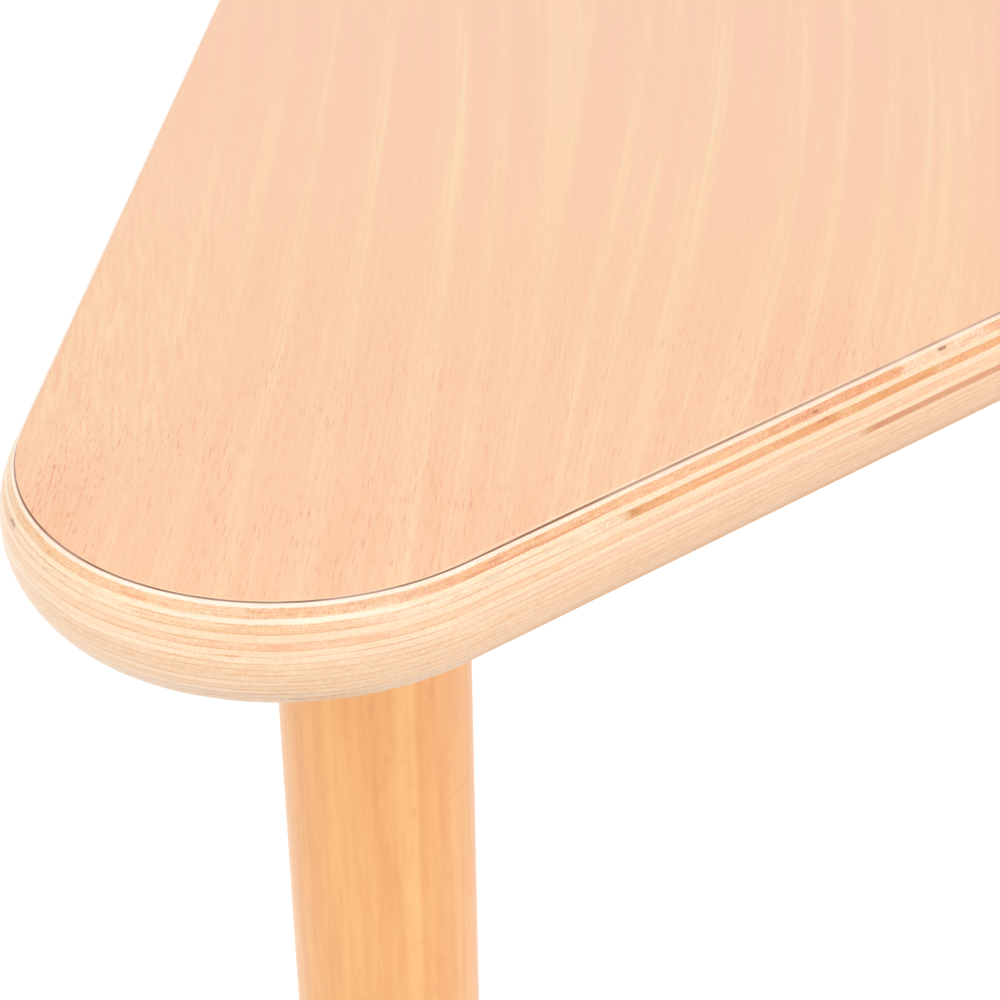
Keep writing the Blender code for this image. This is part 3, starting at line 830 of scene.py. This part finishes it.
def make_plywood():
    finish = Finish("birch_plywood", {"Coat Roughness": 0.13})
    edge, relief, grit, matt = edge_colour(finish)
    face, fine = veneer_colour(finish)
    on_edge = finish.rise(finish.place()[2], *EDGE_BEGINS)
    coat = COAT_LEAST + finish.rise(grit, *GRIT_OPENS) * (1 - COAT_LEAST)
    finish.feed("Base Color", finish.blend(on_edge, face, edge))
    finish.feed("Roughness", WOOD_MATT + relief * RELIEF_MATT + matt * BARE_MATT)
    finish.feed("Coat Weight", coat * (1 - matt * COAT_LOST))
    finish.bump(relief * EDGE_RELIEF + fine * FACE_RELIEF, WOOD_RELIEF, WOOD_STRENGTH)
    return finish


plywood = make_plywood()
print("plywood nodes:", len(plywood.tree.nodes))

# %% [markdown]
# ## Lacquered beech
#
# A leg is turned from solid beech, so its grain goes through it from end to end. Noise in all
# three directions, stretched along Z, gives the streaks, and as it is a solid pattern it is
# right on the end faces as well. One pale ring is placed where it shows on the photographed
# leg. The small dark marks are rays seen from their end.

# %% The legs' finish
LEG_RADIUS = (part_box("leg_right")[1].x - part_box("leg_right")[0].x) / 2
LEG_SWAY, SWAY_OF_RING, SWAY_OF_RAYS = (30, 30, 90), 2, 3
WIDE_RINGS, MOTTLES, FINE_FIBRES = (8, 8, 300), (2.6, 2.6, 14), (0.6, 0.6, 7)
NARROW_RING, NARROW_RINGS = 2.4, (1, 2.4, 60)
PALE_RING = (6.0, 9.0, 11.4, 12.2)
LEG_PALENESS = {
    "plain": 0.1, "wide": 0.5, "streak": 0.85, "fine": 0.2, "pale_ring": 0.3, "mottle": 0.45,
}
LEG_TONES = [
    (0.0, tone(236, 159, 95)), (0.35, tone(243, 174, 105)), (0.6, tone(248, 184, 114)),
    (1.0, tone(252, 198, 134)),
]
RAY_DIRECTION = (0.4, 0.9)
LEG_RAYS = {"spacing": (8.0, 2.4), "size": (4.2, 1.1), "share": 0.35}
LEG_RAY_BROWN, LEG_RAY_SHARE = tone(228, 146, 88), 0.3
LEG_MATT, LEG_UNEVEN = 0.36, 0.1
FINE_RELIEF, STREAK_RELIEF, LEG_RELIEF, LEG_STRENGTH = 0.4, 0.2, 0.03 * MM, 0.3


def leg_paleness(finish, place, sway, fine, streak):
    """Each kind of streak adds its part, and the pale ring has a soft start and a soft end."""
    _, y, _ = place
    wide = finish.noise(place, WIDE_RINGS, SMOOTH)
    mottle = finish.noise(place, MOTTLES)
    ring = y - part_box("leg_right")[0].y / MM - LEG_RADIUS / MM + sway * SWAY_OF_RING
    start, full, last, end = PALE_RING
    pale_ring = finish.rise(ring, start, full) * finish.rise(ring, end, last)
    part = LEG_PALENESS
    level = part["plain"] + wide * part["wide"] + (streak - 0.5) * part["streak"]
    level = level + (fine - 0.5) * part["fine"] + pale_ring * part["pale_ring"]
    return level + (mottle - 0.5) * part["mottle"]


def make_beech():
    finish = Finish("lacquered_beech", {"Coat Weight": 0.6, "Coat Roughness": 0.2})
    x, y, z = (value / MM for value in finish.place())
    sway = finish.swing((x, y, z), LEG_SWAY, SMOOTH)
    streak = finish.noise((x / NARROW_RING + sway, y, z), NARROW_RINGS)
    fine = finish.noise((x, y, z), FINE_FIBRES)
    colour = finish.ramp(leg_paleness(finish, (x, y, z), sway, fine, streak), LEG_TONES)
    around = (y * RAY_DIRECTION[1] + x * RAY_DIRECTION[0]) + sway * SWAY_OF_RAYS
    rays = dashes(finish, z, around, **LEG_RAYS)
    colour = finish.blend(rays * LEG_RAY_SHARE, colour, LEG_RAY_BROWN)
    finish.feed("Base Color", colour)
    finish.feed("Roughness", LEG_MATT + fine * LEG_UNEVEN)
    finish.bump(fine * FINE_RELIEF + streak * STREAK_RELIEF, LEG_RELIEF, LEG_STRENGTH)
    return finish


beech = make_beech()
print("beech nodes:", len(beech.tree.nodes))

# %% [markdown]
# ## Zinc and nylon
#
# The plates, screws, nuts and bolts are steel with a thin coat of zinc. Zinc settles in
# patches of slightly different gloss, so noise changes mostly the roughness and only a
# little of the colour. The glides are moulded nylon with the fine grain of its mould, and
# they are scuffed pale where they slide on the floor.

# %% Zinc-plated steel
ZINC_PATCHES, PATCHES_SHOW = (5, 5, 5), (0.3, 0.7)
BRUSH_MARKS = (0.25, 4, 0.8)
ZINC_BLUE, ZINC_YELLOW = tone(196, 199, 204), tone(214, 213, 206)
ZINC_LIGHT, ZINC_BRUSHED = 0.94, 0.12
ZINC_MATT, PATCH_MATT, BRUSH_MATT = 0.2, 0.24, 0.06
BRUSH_RELIEF, BRUSH_STRENGTH = 0.01 * MM, 0.5


def make_zinc():
    finish = Finish("zinc_plated_steel", {"Metallic": 1.0})
    place = [value / MM for value in finish.place()]
    patch = finish.noise(place, ZINC_PATCHES, RICH, ROUGH)
    brushed = finish.noise(place, BRUSH_MARKS)
    colour = finish.blend(finish.rise(patch, *PATCHES_SHOW), ZINC_BLUE, ZINC_YELLOW)
    finish.feed("Base Color", finish.brighten(colour, ZINC_LIGHT + brushed * ZINC_BRUSHED))
    finish.feed("Roughness", ZINC_MATT + patch * PATCH_MATT + brushed * BRUSH_MATT)
    finish.bump(brushed, BRUSH_RELIEF, BRUSH_STRENGTH)
    return finish


# %% Grey nylon
MOULD_GRAIN, SCUFFS, SCUFFS_SHOW = (0.5, 0.5, 0.5), (1.2, 9, 2), (0.45, 0.65)
SCUFFED_PART = (1.2, 0.0)
NYLON_DARK, NYLON_PALE = tone(108, 108, 110), tone(124, 124, 126)
SCUFF_GREY, SCUFF_SHARE = tone(170, 170, 168), 0.6
NYLON_MATT, GRAIN_MATT, SCUFF_MATT = 0.42, 0.2, 0.2
GRAIN_RELIEF, GRAIN_STRENGTH = 0.04 * MM, 0.4


def make_nylon():
    finish = Finish("grey_nylon", {})
    place = [value / MM for value in finish.place()]
    grain = finish.noise(place, MOULD_GRAIN)
    scuff = finish.noise(place, SCUFFS, RICH)
    worn = finish.rise(place[2], *SCUFFED_PART) * finish.rise(scuff, *SCUFFS_SHOW)
    colour = finish.blend(grain, NYLON_DARK, NYLON_PALE)
    finish.feed("Base Color", finish.blend(worn * SCUFF_SHARE, colour, SCUFF_GREY))
    finish.feed("Roughness", NYLON_MATT + grain * GRAIN_MATT + worn * SCUFF_MATT)
    finish.bump(grain, GRAIN_RELIEF, GRAIN_STRENGTH)
    return finish


zinc = make_zinc()
nylon = make_nylon()
print("small finishes:", zinc.material.name, nylon.material.name)

# %% [markdown]
# ## Tools for modelling
#
# An operator acts on what is selected, so each step starts from nothing selected. Faces and
# edges are then picked by where they are. A finished piece has its place in its mesh, rides
# on the table's body and hides the node it stands for.

# %% Helpers for picking and finishing
SMOOTH_ANGLE = math.radians(30)
CLOSE = 0.02 * MM
FACING = 0.9


def deselect_all():
    bpy.ops.object.select_all(action="DESELECT")


def edit(piece):
    deselect_all()
    piece.select_set(True)
    bpy.context.view_layer.objects.active = piece
    bpy.ops.object.mode_set(mode="EDIT")


def leave_edit():
    bpy.ops.object.mode_set(mode="OBJECT")


def pick_faces(piece, test):
    """Selects the faces whose middle and normal pass a test, and nothing else."""
    bpy.ops.mesh.select_mode(type="FACE")
    bpy.ops.mesh.select_all(action="DESELECT")
    shape = bmesh.from_edit_mesh(piece.data)
    for face in shape.faces:
        if test(face.calc_center_median(), face.normal):
            face.select_set(True)
    bmesh.update_edit_mesh(piece.data)


def pick_edges(piece, test):
    """Selects the edges whose two ends pass a test, and nothing else."""
    bpy.ops.mesh.select_mode(type="EDGE")
    bpy.ops.mesh.select_all(action="DESELECT")
    shape = bmesh.from_edit_mesh(piece.data)
    for edge in shape.edges:
        if test(edge.verts[0].co, edge.verts[1].co):
            edge.select_set(True)
    bmesh.update_edit_mesh(piece.data)


def pull(offset):
    """Extrudes the selected faces by an offset."""
    bpy.ops.mesh.extrude_region_move(TRANSFORM_OT_translate={"value": offset})


def settle(piece, name):
    """Names a piece and puts its place, turn and size into its mesh."""
    deselect_all()
    piece.select_set(True)
    bpy.context.view_layer.objects.active = piece
    piece.name = name
    piece.data.name = name
    bpy.ops.object.transform_apply(location=True, rotation=True, scale=True)
    return piece


def cut_with(piece, cutter):
    """Cuts a piece with another one, which is then removed."""
    deselect_all()
    bpy.context.view_layer.objects.active = piece
    modifier = piece.modifiers.new("cut", "BOOLEAN")
    modifier.operation = "DIFFERENCE"
    modifier.solver = "EXACT"
    modifier.object = cutter
    bpy.ops.object.modifier_apply(modifier=modifier.name)
    bpy.data.objects.remove(cutter)


def complete(piece, finish, nodes):
    """Shades and paints a finished piece, puts it on the table's body and hides the given nodes
    that it stands for.
    """
    deselect_all()
    piece.select_set(True)
    bpy.context.view_layer.objects.active = piece
    bpy.ops.object.shade_smooth_by_angle(angle=SMOOTH_ANGLE)
    piece.data.materials.clear()
    piece.data.materials.append(finish.material)
    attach(piece, "root")
    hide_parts(*nodes)
    print(piece.name, "faces:", len(piece.data.polygons))


# %% [markdown]
# ## The top
#
# The edge of the top is a shallow round, part of a circle that runs through both arrises. At
# a corner that circle is swept around the corner's middle, which is just what a torus is.
# Three tori, one for each corner, are cut off flat at the worktop and at the underside. A
# convex hull stretched over them is the whole top, with its straight sides and flat faces.

# %% One body for the whole top
AROUND, ACROSS = 128, 96
TINY_ANGLE = math.radians(0.2)


def add_torus(corner):
    x, y, _, _ = CORNERS[corner]
    bpy.ops.mesh.primitive_torus_add(
        location=(x, y, TOP_MIDDLE), major_radius=CORNER_RADIUS - EDGE_RADIUS,
        minor_radius=EDGE_RADIUS, major_segments=AROUND, minor_segments=ACROSS)


def slice_off(height, upper, fill=False):
    """Cuts everything above, or else below, a height away."""
    bpy.ops.mesh.select_all(action="SELECT")
    bpy.ops.mesh.bisect(plane_co=(0, 0, height), plane_no=(0, 0, 1), use_fill=fill,
                        clear_outer=upper, clear_inner=not upper)


deselect_all()
add_torus("right")
top_body = settle(bpy.context.object, "top_body")
edit(top_body)
add_torus("rear")
add_torus("left")
slice_off(TABLE_TOP, upper=True)
slice_off(TOP_BOTTOM, upper=False)
bpy.ops.mesh.select_all(action="SELECT")
bpy.ops.mesh.convex_hull(delete_unused=True, use_existing_faces=False, join_triangles=False)
bpy.ops.mesh.select_all(action="SELECT")
bpy.ops.mesh.remove_doubles(threshold=CLOSE / 10)
bpy.ops.mesh.dissolve_limited(angle_limit=TINY_ANGLE)
leave_edit()
print("top body faces:", len(top_body.data.polygons), "vertices:", len(top_body.data.vertices))

# %% [markdown]
# The laminate and the plywood are two slices of this one body, so their edge runs on from one
# to the other without a step. The arris of the laminate is broken by a hair, and the lower
# arris of the plywood is eased so that it doesn't splinter.

# %% Slice the top into laminate and plywood
LAMINATE_ARRIS, LAMINATE_STEPS = 0.1 * MM, 2
LOWER_ARRIS, LOWER_STEPS = 0.1 * MM, 4


def at_height(height):
    return lambda first, second: abs(first.z - height) < CLOSE and abs(second.z - height) < CLOSE


def copy_of(piece, name):
    copied = bpy.data.objects.new(name, piece.data.copy())
    copied.data.name = name
    bpy.context.scene.collection.objects.link(copied)
    return copied


laminate = copy_of(top_body, "decor_laminate")
edit(laminate)
slice_off(LAMINATE_BOTTOM, upper=False, fill=True)
pick_edges(laminate, at_height(TABLE_TOP))
bpy.ops.mesh.bevel(offset=LAMINATE_ARRIS, segments=LAMINATE_STEPS, affect="EDGES")
leave_edit()

core = top_body
core.name = core.data.name = "birch_plywood_core"
edit(core)
slice_off(LAMINATE_BOTTOM, upper=True, fill=True)
pick_edges(core, at_height(TOP_BOTTOM))
bpy.ops.mesh.bevel(offset=LOWER_ARRIS, segments=LOWER_STEPS, affect="EDGES")
leave_edit()
print("laminate faces:", len(laminate.data.polygons), "core faces:", len(core.data.polygons))

# %% [markdown]
# The plywood's finish needs to know how far along the edge a point lies. Every vertex belongs
# to one corner's arc, so its distance is that arc's start plus the arc's length up to it. The
# last side closes the loop, and there a vertex of the first corner counts a whole turn more.

# %% Unroll the edge into a UV map
def arc_starts():
    """The distance along the outline at which each corner's arc starts, and the whole turn."""
    starts, distance = {}, 0.0
    names = list(CORNERS)
    for number, name in enumerate(names):
        x, y, first, last = CORNERS[name]
        following = CORNERS[names[(number + 1) % len(names)]]
        starts[name] = distance
        distance += CORNER_RADIUS * math.radians(last - first)
        distance += math.dist((x, y), following[:2])
    return starts, distance


def edge_distance(place, starts):
    name = min(CORNERS, key=lambda key: math.dist(place[:2], CORNERS[key][:2]))
    x, y, first, _ = CORNERS[name]
    angle = math.atan2(place.y - y, place.x - x)
    turn = (angle - math.radians(first) + CLOSE) % (2 * math.pi) - CLOSE
    return starts[name] + CORNER_RADIUS * turn


def unroll_edge(piece):
    starts, whole = arc_starts()
    layer = piece.data.uv_layers.new(name="edge_unrolled")
    for face in piece.data.polygons:
        places = [piece.data.vertices[index].co for index in face.vertices]
        distances = [edge_distance(place, starts) for place in places]
        furthest = max(distances)
        for loop, place, distance in zip(face.loop_indices, places, distances):
            if furthest - distance > whole / 2:
                distance += whole
            layer.data[loop].uv = (distance, place.z)
    return whole


outline_length = unroll_edge(core)
print("outline in mm:", round(outline_length / MM, 1))

# %% [markdown]
# ## Recesses under the top
#
# Under the top each leg needs a round recess for its nut and four holes for the plate's
# screws. A cylinder for each is added, all of them are joined into one cutter, and one
# Boolean takes them out of the plywood. The places come from the nodes that go in there.

# %% Rods and cutters
FIT_GAP = 0.3 * MM
SIDES = 32


def middle_of(node):
    low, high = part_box(node)
    return (low + high) / 2


def add_rod(place, radius, bottom, top, sides=SIDES):
    """An upright cylinder between two heights."""
    bpy.ops.mesh.primitive_cylinder_add(
        vertices=sides, radius=radius, depth=top - bottom,
        location=(place.x, place.y, (top + bottom) / 2))
    return bpy.context.object


def join_all(pieces):
    deselect_all()
    for piece in pieces:
        piece.select_set(True)
    bpy.context.view_layer.objects.active = pieces[0]
    bpy.ops.object.join()
    return pieces[0]


# %% Cut the recesses
OVERRUN = 2 * MM
SCREW_NUMBERS = (1, 2, 3, 4)
NUT_RECESS_RADIUS = 7.81 * MM
SCREW_RADIUS = 2.25 * MM
screw_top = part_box("plate_screw_right_1")[1].z
bolt_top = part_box("hanger_bolt_right")[1].z

deselect_all()
recesses = []
for corner in CORNERS:
    recesses.append(add_rod(middle_of("hanger_bolt_" + corner), NUT_RECESS_RADIUS,
                            TOP_BOTTOM - OVERRUN, bolt_top + FIT_GAP))
    for number in SCREW_NUMBERS:
        recesses.append(add_rod(middle_of(f"plate_screw_{corner}_{number}"),
                                SCREW_RADIUS + FIT_GAP, TOP_BOTTOM - OVERRUN, screw_top + FIT_GAP))
cut_with(core, join_all(recesses))
complete(core, plywood, ["plywood_core"])
complete(laminate, decor, ["top_laminate"])

# %% [markdown]
# ## The legs
#
# A leg is a plain turned rod. It starts as a cylinder of the leg's diameter. The rims at its
# head and foot are bevelled, as a lathe's knife leaves them. Then each end face is inset to
# the size of its bore and pushed into the leg.

# %% Model one leg
LEG_HEAD_ROUND, LEG_HEAD_STEPS = 1 * MM, 3
LEG_FOOT_ROUND, LEG_FOOT_STEPS = 2 * MM, 5
BOLT_RADIUS = 4 * MM
GLIDE_SCREW_RADIUS = 2 * MM
LEG_SIDES = 96


def bore_end(piece, height, bore_radius, rim_radius, depth):
    """Insets the end face at a height to a bore and pushes it in by a signed depth."""
    pick_faces(piece, lambda middle, normal: abs(middle.z - height) < CLOSE)
    bpy.ops.mesh.inset(thickness=rim_radius - bore_radius)
    pull((0, 0, depth))


def make_leg(corner):
    low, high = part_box("leg_" + corner)
    radius = (high.x - low.x) / 2
    deselect_all()
    leg = settle(add_rod((low + high) / 2, radius, low.z, high.z, LEG_SIDES), "round_leg_" + corner)
    edit(leg)
    pick_edges(leg, at_height(high.z))
    bpy.ops.mesh.bevel(offset=LEG_HEAD_ROUND, segments=LEG_HEAD_STEPS, affect="EDGES")
    pick_edges(leg, at_height(low.z))
    bpy.ops.mesh.bevel(offset=LEG_FOOT_ROUND, segments=LEG_FOOT_STEPS, affect="EDGES")
    bolt_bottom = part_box("hanger_bolt_" + corner)[0].z
    glide_screw_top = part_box("glide_screw_" + corner)[1].z
    bore_end(leg, high.z, BOLT_RADIUS + FIT_GAP, radius - LEG_HEAD_ROUND,
             bolt_bottom - FIT_GAP - high.z)
    bore_end(leg, low.z, GLIDE_SCREW_RADIUS + FIT_GAP, radius - LEG_FOOT_ROUND,
             glide_screw_top + FIT_GAP - low.z)
    leave_edit()
    complete(leg, beech, ["leg_" + corner])


for corner in CORNERS:
    make_leg(corner)

# %% [markdown]
# ## Plates, screws and glides
#
# Under the top each leg hangs on a square steel plate with round corners. It starts as a cube
# at the plate's size. Its upright edges are bevelled to the corner's radius and its rims are
# eased a little, as on a stamped plate. One joined cutter makes the five holes.

# %% Model the plates
PLATE_SIDE = 80 * MM
PLATE_CORNER, PLATE_CORNER_STEPS = 8 * MM, 10
PLATE_EASE, PLATE_EASE_STEPS = 0.5 * MM, 3


def bisector(corner):
    _, _, first, last = CORNERS[corner]
    return math.radians((first + last) / 2)


def is_upright(first, second):
    return (first.xy - second.xy).length < CLOSE


def is_level(first, second):
    return abs(first.z - second.z) < CLOSE


def make_plate(corner):
    low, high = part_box("leg_plate_" + corner)
    middle = (low + high) / 2
    deselect_all()
    bpy.ops.mesh.primitive_cube_add(size=1, location=middle, rotation=(0, 0, bisector(corner)),
                                    scale=(PLATE_SIDE, PLATE_SIDE, high.z - low.z))
    plate = settle(bpy.context.object, "steel_plate_" + corner)
    edit(plate)
    pick_edges(plate, is_upright)
    bpy.ops.mesh.bevel(offset=PLATE_CORNER, segments=PLATE_CORNER_STEPS, affect="EDGES")
    pick_edges(plate, is_level)
    bpy.ops.mesh.bevel(offset=PLATE_EASE, segments=PLATE_EASE_STEPS, affect="EDGES")
    leave_edit()
    holes = [add_rod(middle, BOLT_RADIUS + FIT_GAP, low.z - OVERRUN, high.z + OVERRUN)]
    for number in SCREW_NUMBERS:
        place = middle_of(f"plate_screw_{corner}_{number}")
        holes.append(add_rod(place, SCREW_RADIUS + FIT_GAP, low.z - OVERRUN, high.z + OVERRUN))
    cut_with(plate, join_all(holes))
    complete(plate, zinc, ["leg_plate_" + corner])


for corner in CORNERS:
    make_plate(corner)

# %% [markdown]
# A plate's screw has a domed head with a cross recess. The dome is half a sphere, pressed to
# the head's height and cut off flat at the plate. It is turned by half a segment, because the
# cross cuts cleanly only where its corners miss the sphere's edges. The flat face is inset to
# the shank, pulled up and drawn to a point. The screw is modelled once and copied twelve times.

# %% Model the plate's screw
SCREW_HEAD_RADIUS = 4.5 * MM
SCREW_TIP = 4 * MM
CROSS_ARM = 2.3 * MM
CROSS_WIDTH = 0.9 * MM
CROSS_DEPTH = 1.7 * MM
CROSS_TAPER = 0.45
POINT = 0.04


def add_cross(place, bottom):
    """A cutter for a cross recess: a cube whose four sides are pulled out, with a narrow top."""
    bpy.ops.mesh.primitive_cube_add(
        size=1, location=(place.x, place.y, bottom),
        scale=(CROSS_WIDTH, CROSS_WIDTH, 2 * CROSS_DEPTH))
    cross = settle(bpy.context.object, "cross")
    edit(cross)
    reach = CROSS_ARM - CROSS_WIDTH / 2
    for x, y in ((1, 0), (-1, 0), (0, 1), (0, -1)):
        pick_faces(cross, lambda middle, normal: normal.dot(Vector((x, y, 0))) > FACING
                   and (middle.xy - place.xy).length < CROSS_WIDTH)
        pull((x * reach, y * reach, 0))
    pick_faces(cross, lambda middle, normal: normal.z > FACING)
    bpy.ops.transform.resize(value=(CROSS_TAPER, CROSS_TAPER, 1))
    leave_edit()
    return cross


def draw_point(piece, height, tip):
    """Pulls the face at a height up by the tip's length and shrinks it to a point."""
    pick_faces(piece, lambda middle, normal: abs(middle.z - height) < CLOSE and normal.z > FACING)
    pull((0, 0, tip))
    bpy.ops.transform.resize(value=(POINT, POINT, 1))


def make_plate_screw(node):
    low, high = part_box(node)
    middle = (low + high) / 2
    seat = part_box("leg_plate_right")[0].z - FIT_GAP
    deselect_all()
    bpy.ops.mesh.primitive_uv_sphere_add(
        segments=SIDES, ring_count=SIDES // 2, radius=SCREW_HEAD_RADIUS,
        location=(middle.x, middle.y, seat), rotation=(0, 0, math.pi / SIDES),
        scale=(1, 1, (seat - low.z) / SCREW_HEAD_RADIUS))
    screw = settle(bpy.context.object, "domed_screw")
    edit(screw)
    slice_off(seat, upper=True, fill=True)
    pick_faces(screw, lambda middle, normal: abs(middle.z - seat) < CLOSE)
    bpy.ops.mesh.inset(thickness=SCREW_HEAD_RADIUS - SCREW_RADIUS)
    pull((0, 0, high.z - SCREW_TIP - seat))
    draw_point(screw, high.z - SCREW_TIP, SCREW_TIP)
    leave_edit()
    cut_with(screw, add_cross(middle, low.z))
    return screw, middle


pattern_screw, pattern_place = make_plate_screw("plate_screw_right_1")
for corner in CORNERS:
    for number in SCREW_NUMBERS:
        node = f"plate_screw_{corner}_{number}"
        screw = copy_of(pattern_screw, f"domed_screw_{corner}_{number}")
        screw.location = middle_of(node) - pattern_place
        settle(screw, screw.name)
        complete(screw, zinc, [node])
bpy.data.objects.remove(pattern_screw)

# %% [markdown]
# A glide is a nylon disc with a countersunk hole. The disc's rims are bevelled, more at the
# floor than at the leg. The hole's cutter is a rod as wide as the screw's head. Its upper face
# is pulled up and narrowed to the bore, and pulled on past the disc, and a Boolean cuts it out.

# %% Model the glides
GLIDE_RIM, GLIDE_RIM_STEPS = 1.5 * MM, 4
GLIDE_EASE, GLIDE_EASE_STEPS = 0.4 * MM, 3
GLIDE_HEAD_RADIUS = 4 * MM
GLIDE_RECESS = 1.5 * MM
GLIDE_SIDES = 64


def make_glide(corner):
    low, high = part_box("glide_" + corner)
    middle = (low + high) / 2
    radius = (high.x - low.x) / 2
    bore = GLIDE_SCREW_RADIUS + FIT_GAP
    countersink = GLIDE_HEAD_RADIUS + FIT_GAP
    deselect_all()
    glide = settle(add_rod(middle, radius, low.z, high.z, GLIDE_SIDES), "nylon_glide_" + corner)
    edit(glide)
    pick_edges(glide, at_height(low.z))
    bpy.ops.mesh.bevel(offset=GLIDE_RIM, segments=GLIDE_RIM_STEPS, affect="EDGES")
    pick_edges(glide, at_height(high.z))
    bpy.ops.mesh.bevel(offset=GLIDE_EASE, segments=GLIDE_EASE_STEPS, affect="EDGES")
    leave_edit()
    hole = add_rod(middle, countersink, low.z - OVERRUN, low.z + GLIDE_RECESS, SIDES)
    hole = settle(hole, "countersink")
    edit(hole)
    cone = GLIDE_HEAD_RADIUS - GLIDE_SCREW_RADIUS
    pick_faces(hole, lambda place, normal: normal.z > FACING)
    pull((0, 0, cone))
    bpy.ops.transform.resize(value=(bore / countersink, bore / countersink, 1))
    pull((0, 0, high.z + OVERRUN - low.z - GLIDE_RECESS - cone))
    leave_edit()
    cut_with(glide, hole)
    complete(glide, nylon, ["glide_" + corner])


for corner in CORNERS:
    make_glide(corner)

# %% [markdown]
# The glide's screw is countersunk: a cone under a flat head. It starts as a cone of the
# head's size, its upper face is pulled up to the shank's length and drawn to a point, and the
# same cross cutter makes its recess from below.

# %% Model the glides' screws
GLIDE_SCREW_TIP = 3.5 * MM


def make_glide_screw(node):
    low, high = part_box(node)
    middle = (low + high) / 2
    cone = GLIDE_HEAD_RADIUS - GLIDE_SCREW_RADIUS
    deselect_all()
    bpy.ops.mesh.primitive_cone_add(
        vertices=SIDES, radius1=GLIDE_HEAD_RADIUS, radius2=GLIDE_SCREW_RADIUS, depth=cone,
        location=(middle.x, middle.y, low.z + cone / 2))
    screw = settle(bpy.context.object, "countersunk_screw")
    edit(screw)
    pick_faces(screw, lambda place, normal: normal.z > FACING)
    pull((0, 0, high.z - GLIDE_SCREW_TIP - low.z - cone))
    draw_point(screw, high.z - GLIDE_SCREW_TIP, GLIDE_SCREW_TIP)
    leave_edit()
    cut_with(screw, add_cross(middle, low.z))
    return screw, middle


pattern_screw, pattern_place = make_glide_screw("glide_screw_right")
for corner in CORNERS:
    node = "glide_screw_" + corner
    screw = copy_of(pattern_screw, "countersunk_screw_" + corner)
    screw.location = middle_of(node) - pattern_place
    settle(screw, screw.name)
    complete(screw, zinc, [node])
bpy.data.objects.remove(pattern_screw)

# %% [markdown]
# ## Nodes that stay
#
# The nuts and the hanger bolts lie hidden between the plates, the plywood and the legs. Their
# solids are already the right shape, so they keep it and only get the zinc finish.

# %% Finish the hidden steel
for corner in CORNERS:
    for name in ("plate_nut_", "hanger_bolt_"):
        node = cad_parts[name + corner]
        for slot_index in range(len(node.data.materials)):
            node.material_slots[slot_index].material = zinc.material
print("carried over with a zinc finish:", 2 * len(CORNERS))

# %% [markdown]
# ## The stage
#
# The table stands on a plain white floor under soft light from all round, as in a white
# studio. The floor's material adds a little light of its own, but only for what the camera, a
# mirror or a glass sees, so it looks white and still keeps the table's shadow. The world is
# white in the same way, and it lights the table at the level at which a colour renders about
# as it is written.

# %% Floor and world
FLOOR_SIZE = 30
FLOOR_GLOW = 0.5
FLOOR_WHITE = 0.68
WORLD_LIGHT = 0.885

deselect_all()
bpy.ops.mesh.primitive_plane_add(size=FLOOR_SIZE, location=(0, 0, 0))
floor = bpy.context.object
floor.name = "floor"


def seen_directly(finish):
    """1 for rays from the camera, a mirror or a glass, and 0 for rays that carry light."""
    camera_ray = finish.node("ShaderNodeLightPath", output="Is Camera Ray")
    glossy_ray = finish.node("ShaderNodeLightPath", output="Is Glossy Ray")
    transmission_ray = finish.node("ShaderNodeLightPath", output="Is Transmission Ray")
    return camera_ray.at_least(glossy_ray).at_least(transmission_ray)


ground = Finish("white_floor", {"Roughness": 0.9, "Emission Strength": 1})
ground.shader.inputs["Base Color"].default_value = (FLOOR_WHITE, FLOOR_WHITE, FLOOR_WHITE, 1)
ground.feed("Emission Color", seen_directly(ground) * FLOOR_GLOW)
floor.data.materials.append(ground.material)

world = bpy.data.worlds.new("white_studio")
bpy.context.scene.world = world
world.use_nodes = True


class Sky(Finish):
    """The world's nodes, made with the same method as a finish."""

    def __init__(self, surroundings):
        self.tree = surroundings.node_tree
        self.shader = self.tree.nodes["Background"]


sky = Sky(world)
sky.shader.inputs["Color"].default_value = (1, 1, 1, 1)
direct = seen_directly(sky)
sky.feed("Strength", direct + (1 - direct) * WORLD_LIGHT)
print("world light:", WORLD_LIGHT)

# %% [markdown]
# Three lamps add direction to the even light. One, wide and not high, stands to the right
# behind the camera, like a window, and puts a glint on the round edge. Two larger and dimmer
# ones, on the left and low on the right, make the legs look round. All are weak beside the
# world's light.

# %% Window lamp and side lamps
LAMPS = {
    "window_lamp": {"place": (1.97, 0.58, 1.13), "size": (1.5, 0.45), "power": 6.5},
    "left_lamp": {"place": (1.6, -1.85, 1.5), "size": (1.6, 1.6), "power": 6.5},
    "right_lamp": {"place": (-0.1, 1.9, 0.4), "size": (1.2, 0.7), "power": 6},
}
target = Vector((CORNERS["right"][0], CORNERS["right"][1], TABLE_TOP))
for name, lamp_data in LAMPS.items():
    deselect_all()
    bpy.ops.object.light_add(type="AREA", location=lamp_data["place"])
    lamp = bpy.context.object
    lamp.name = name
    lamp.data.shape = "RECTANGLE"
    lamp.data.size, lamp.data.size_y = lamp_data["size"]
    lamp.data.energy = lamp_data["power"]
    reach = target - Vector(lamp_data["place"])
    lamp.rotation_euler = reach.to_track_quat("-Z", "Y").to_euler()
    print(name, "distance in m:", round(reach.length, 2))
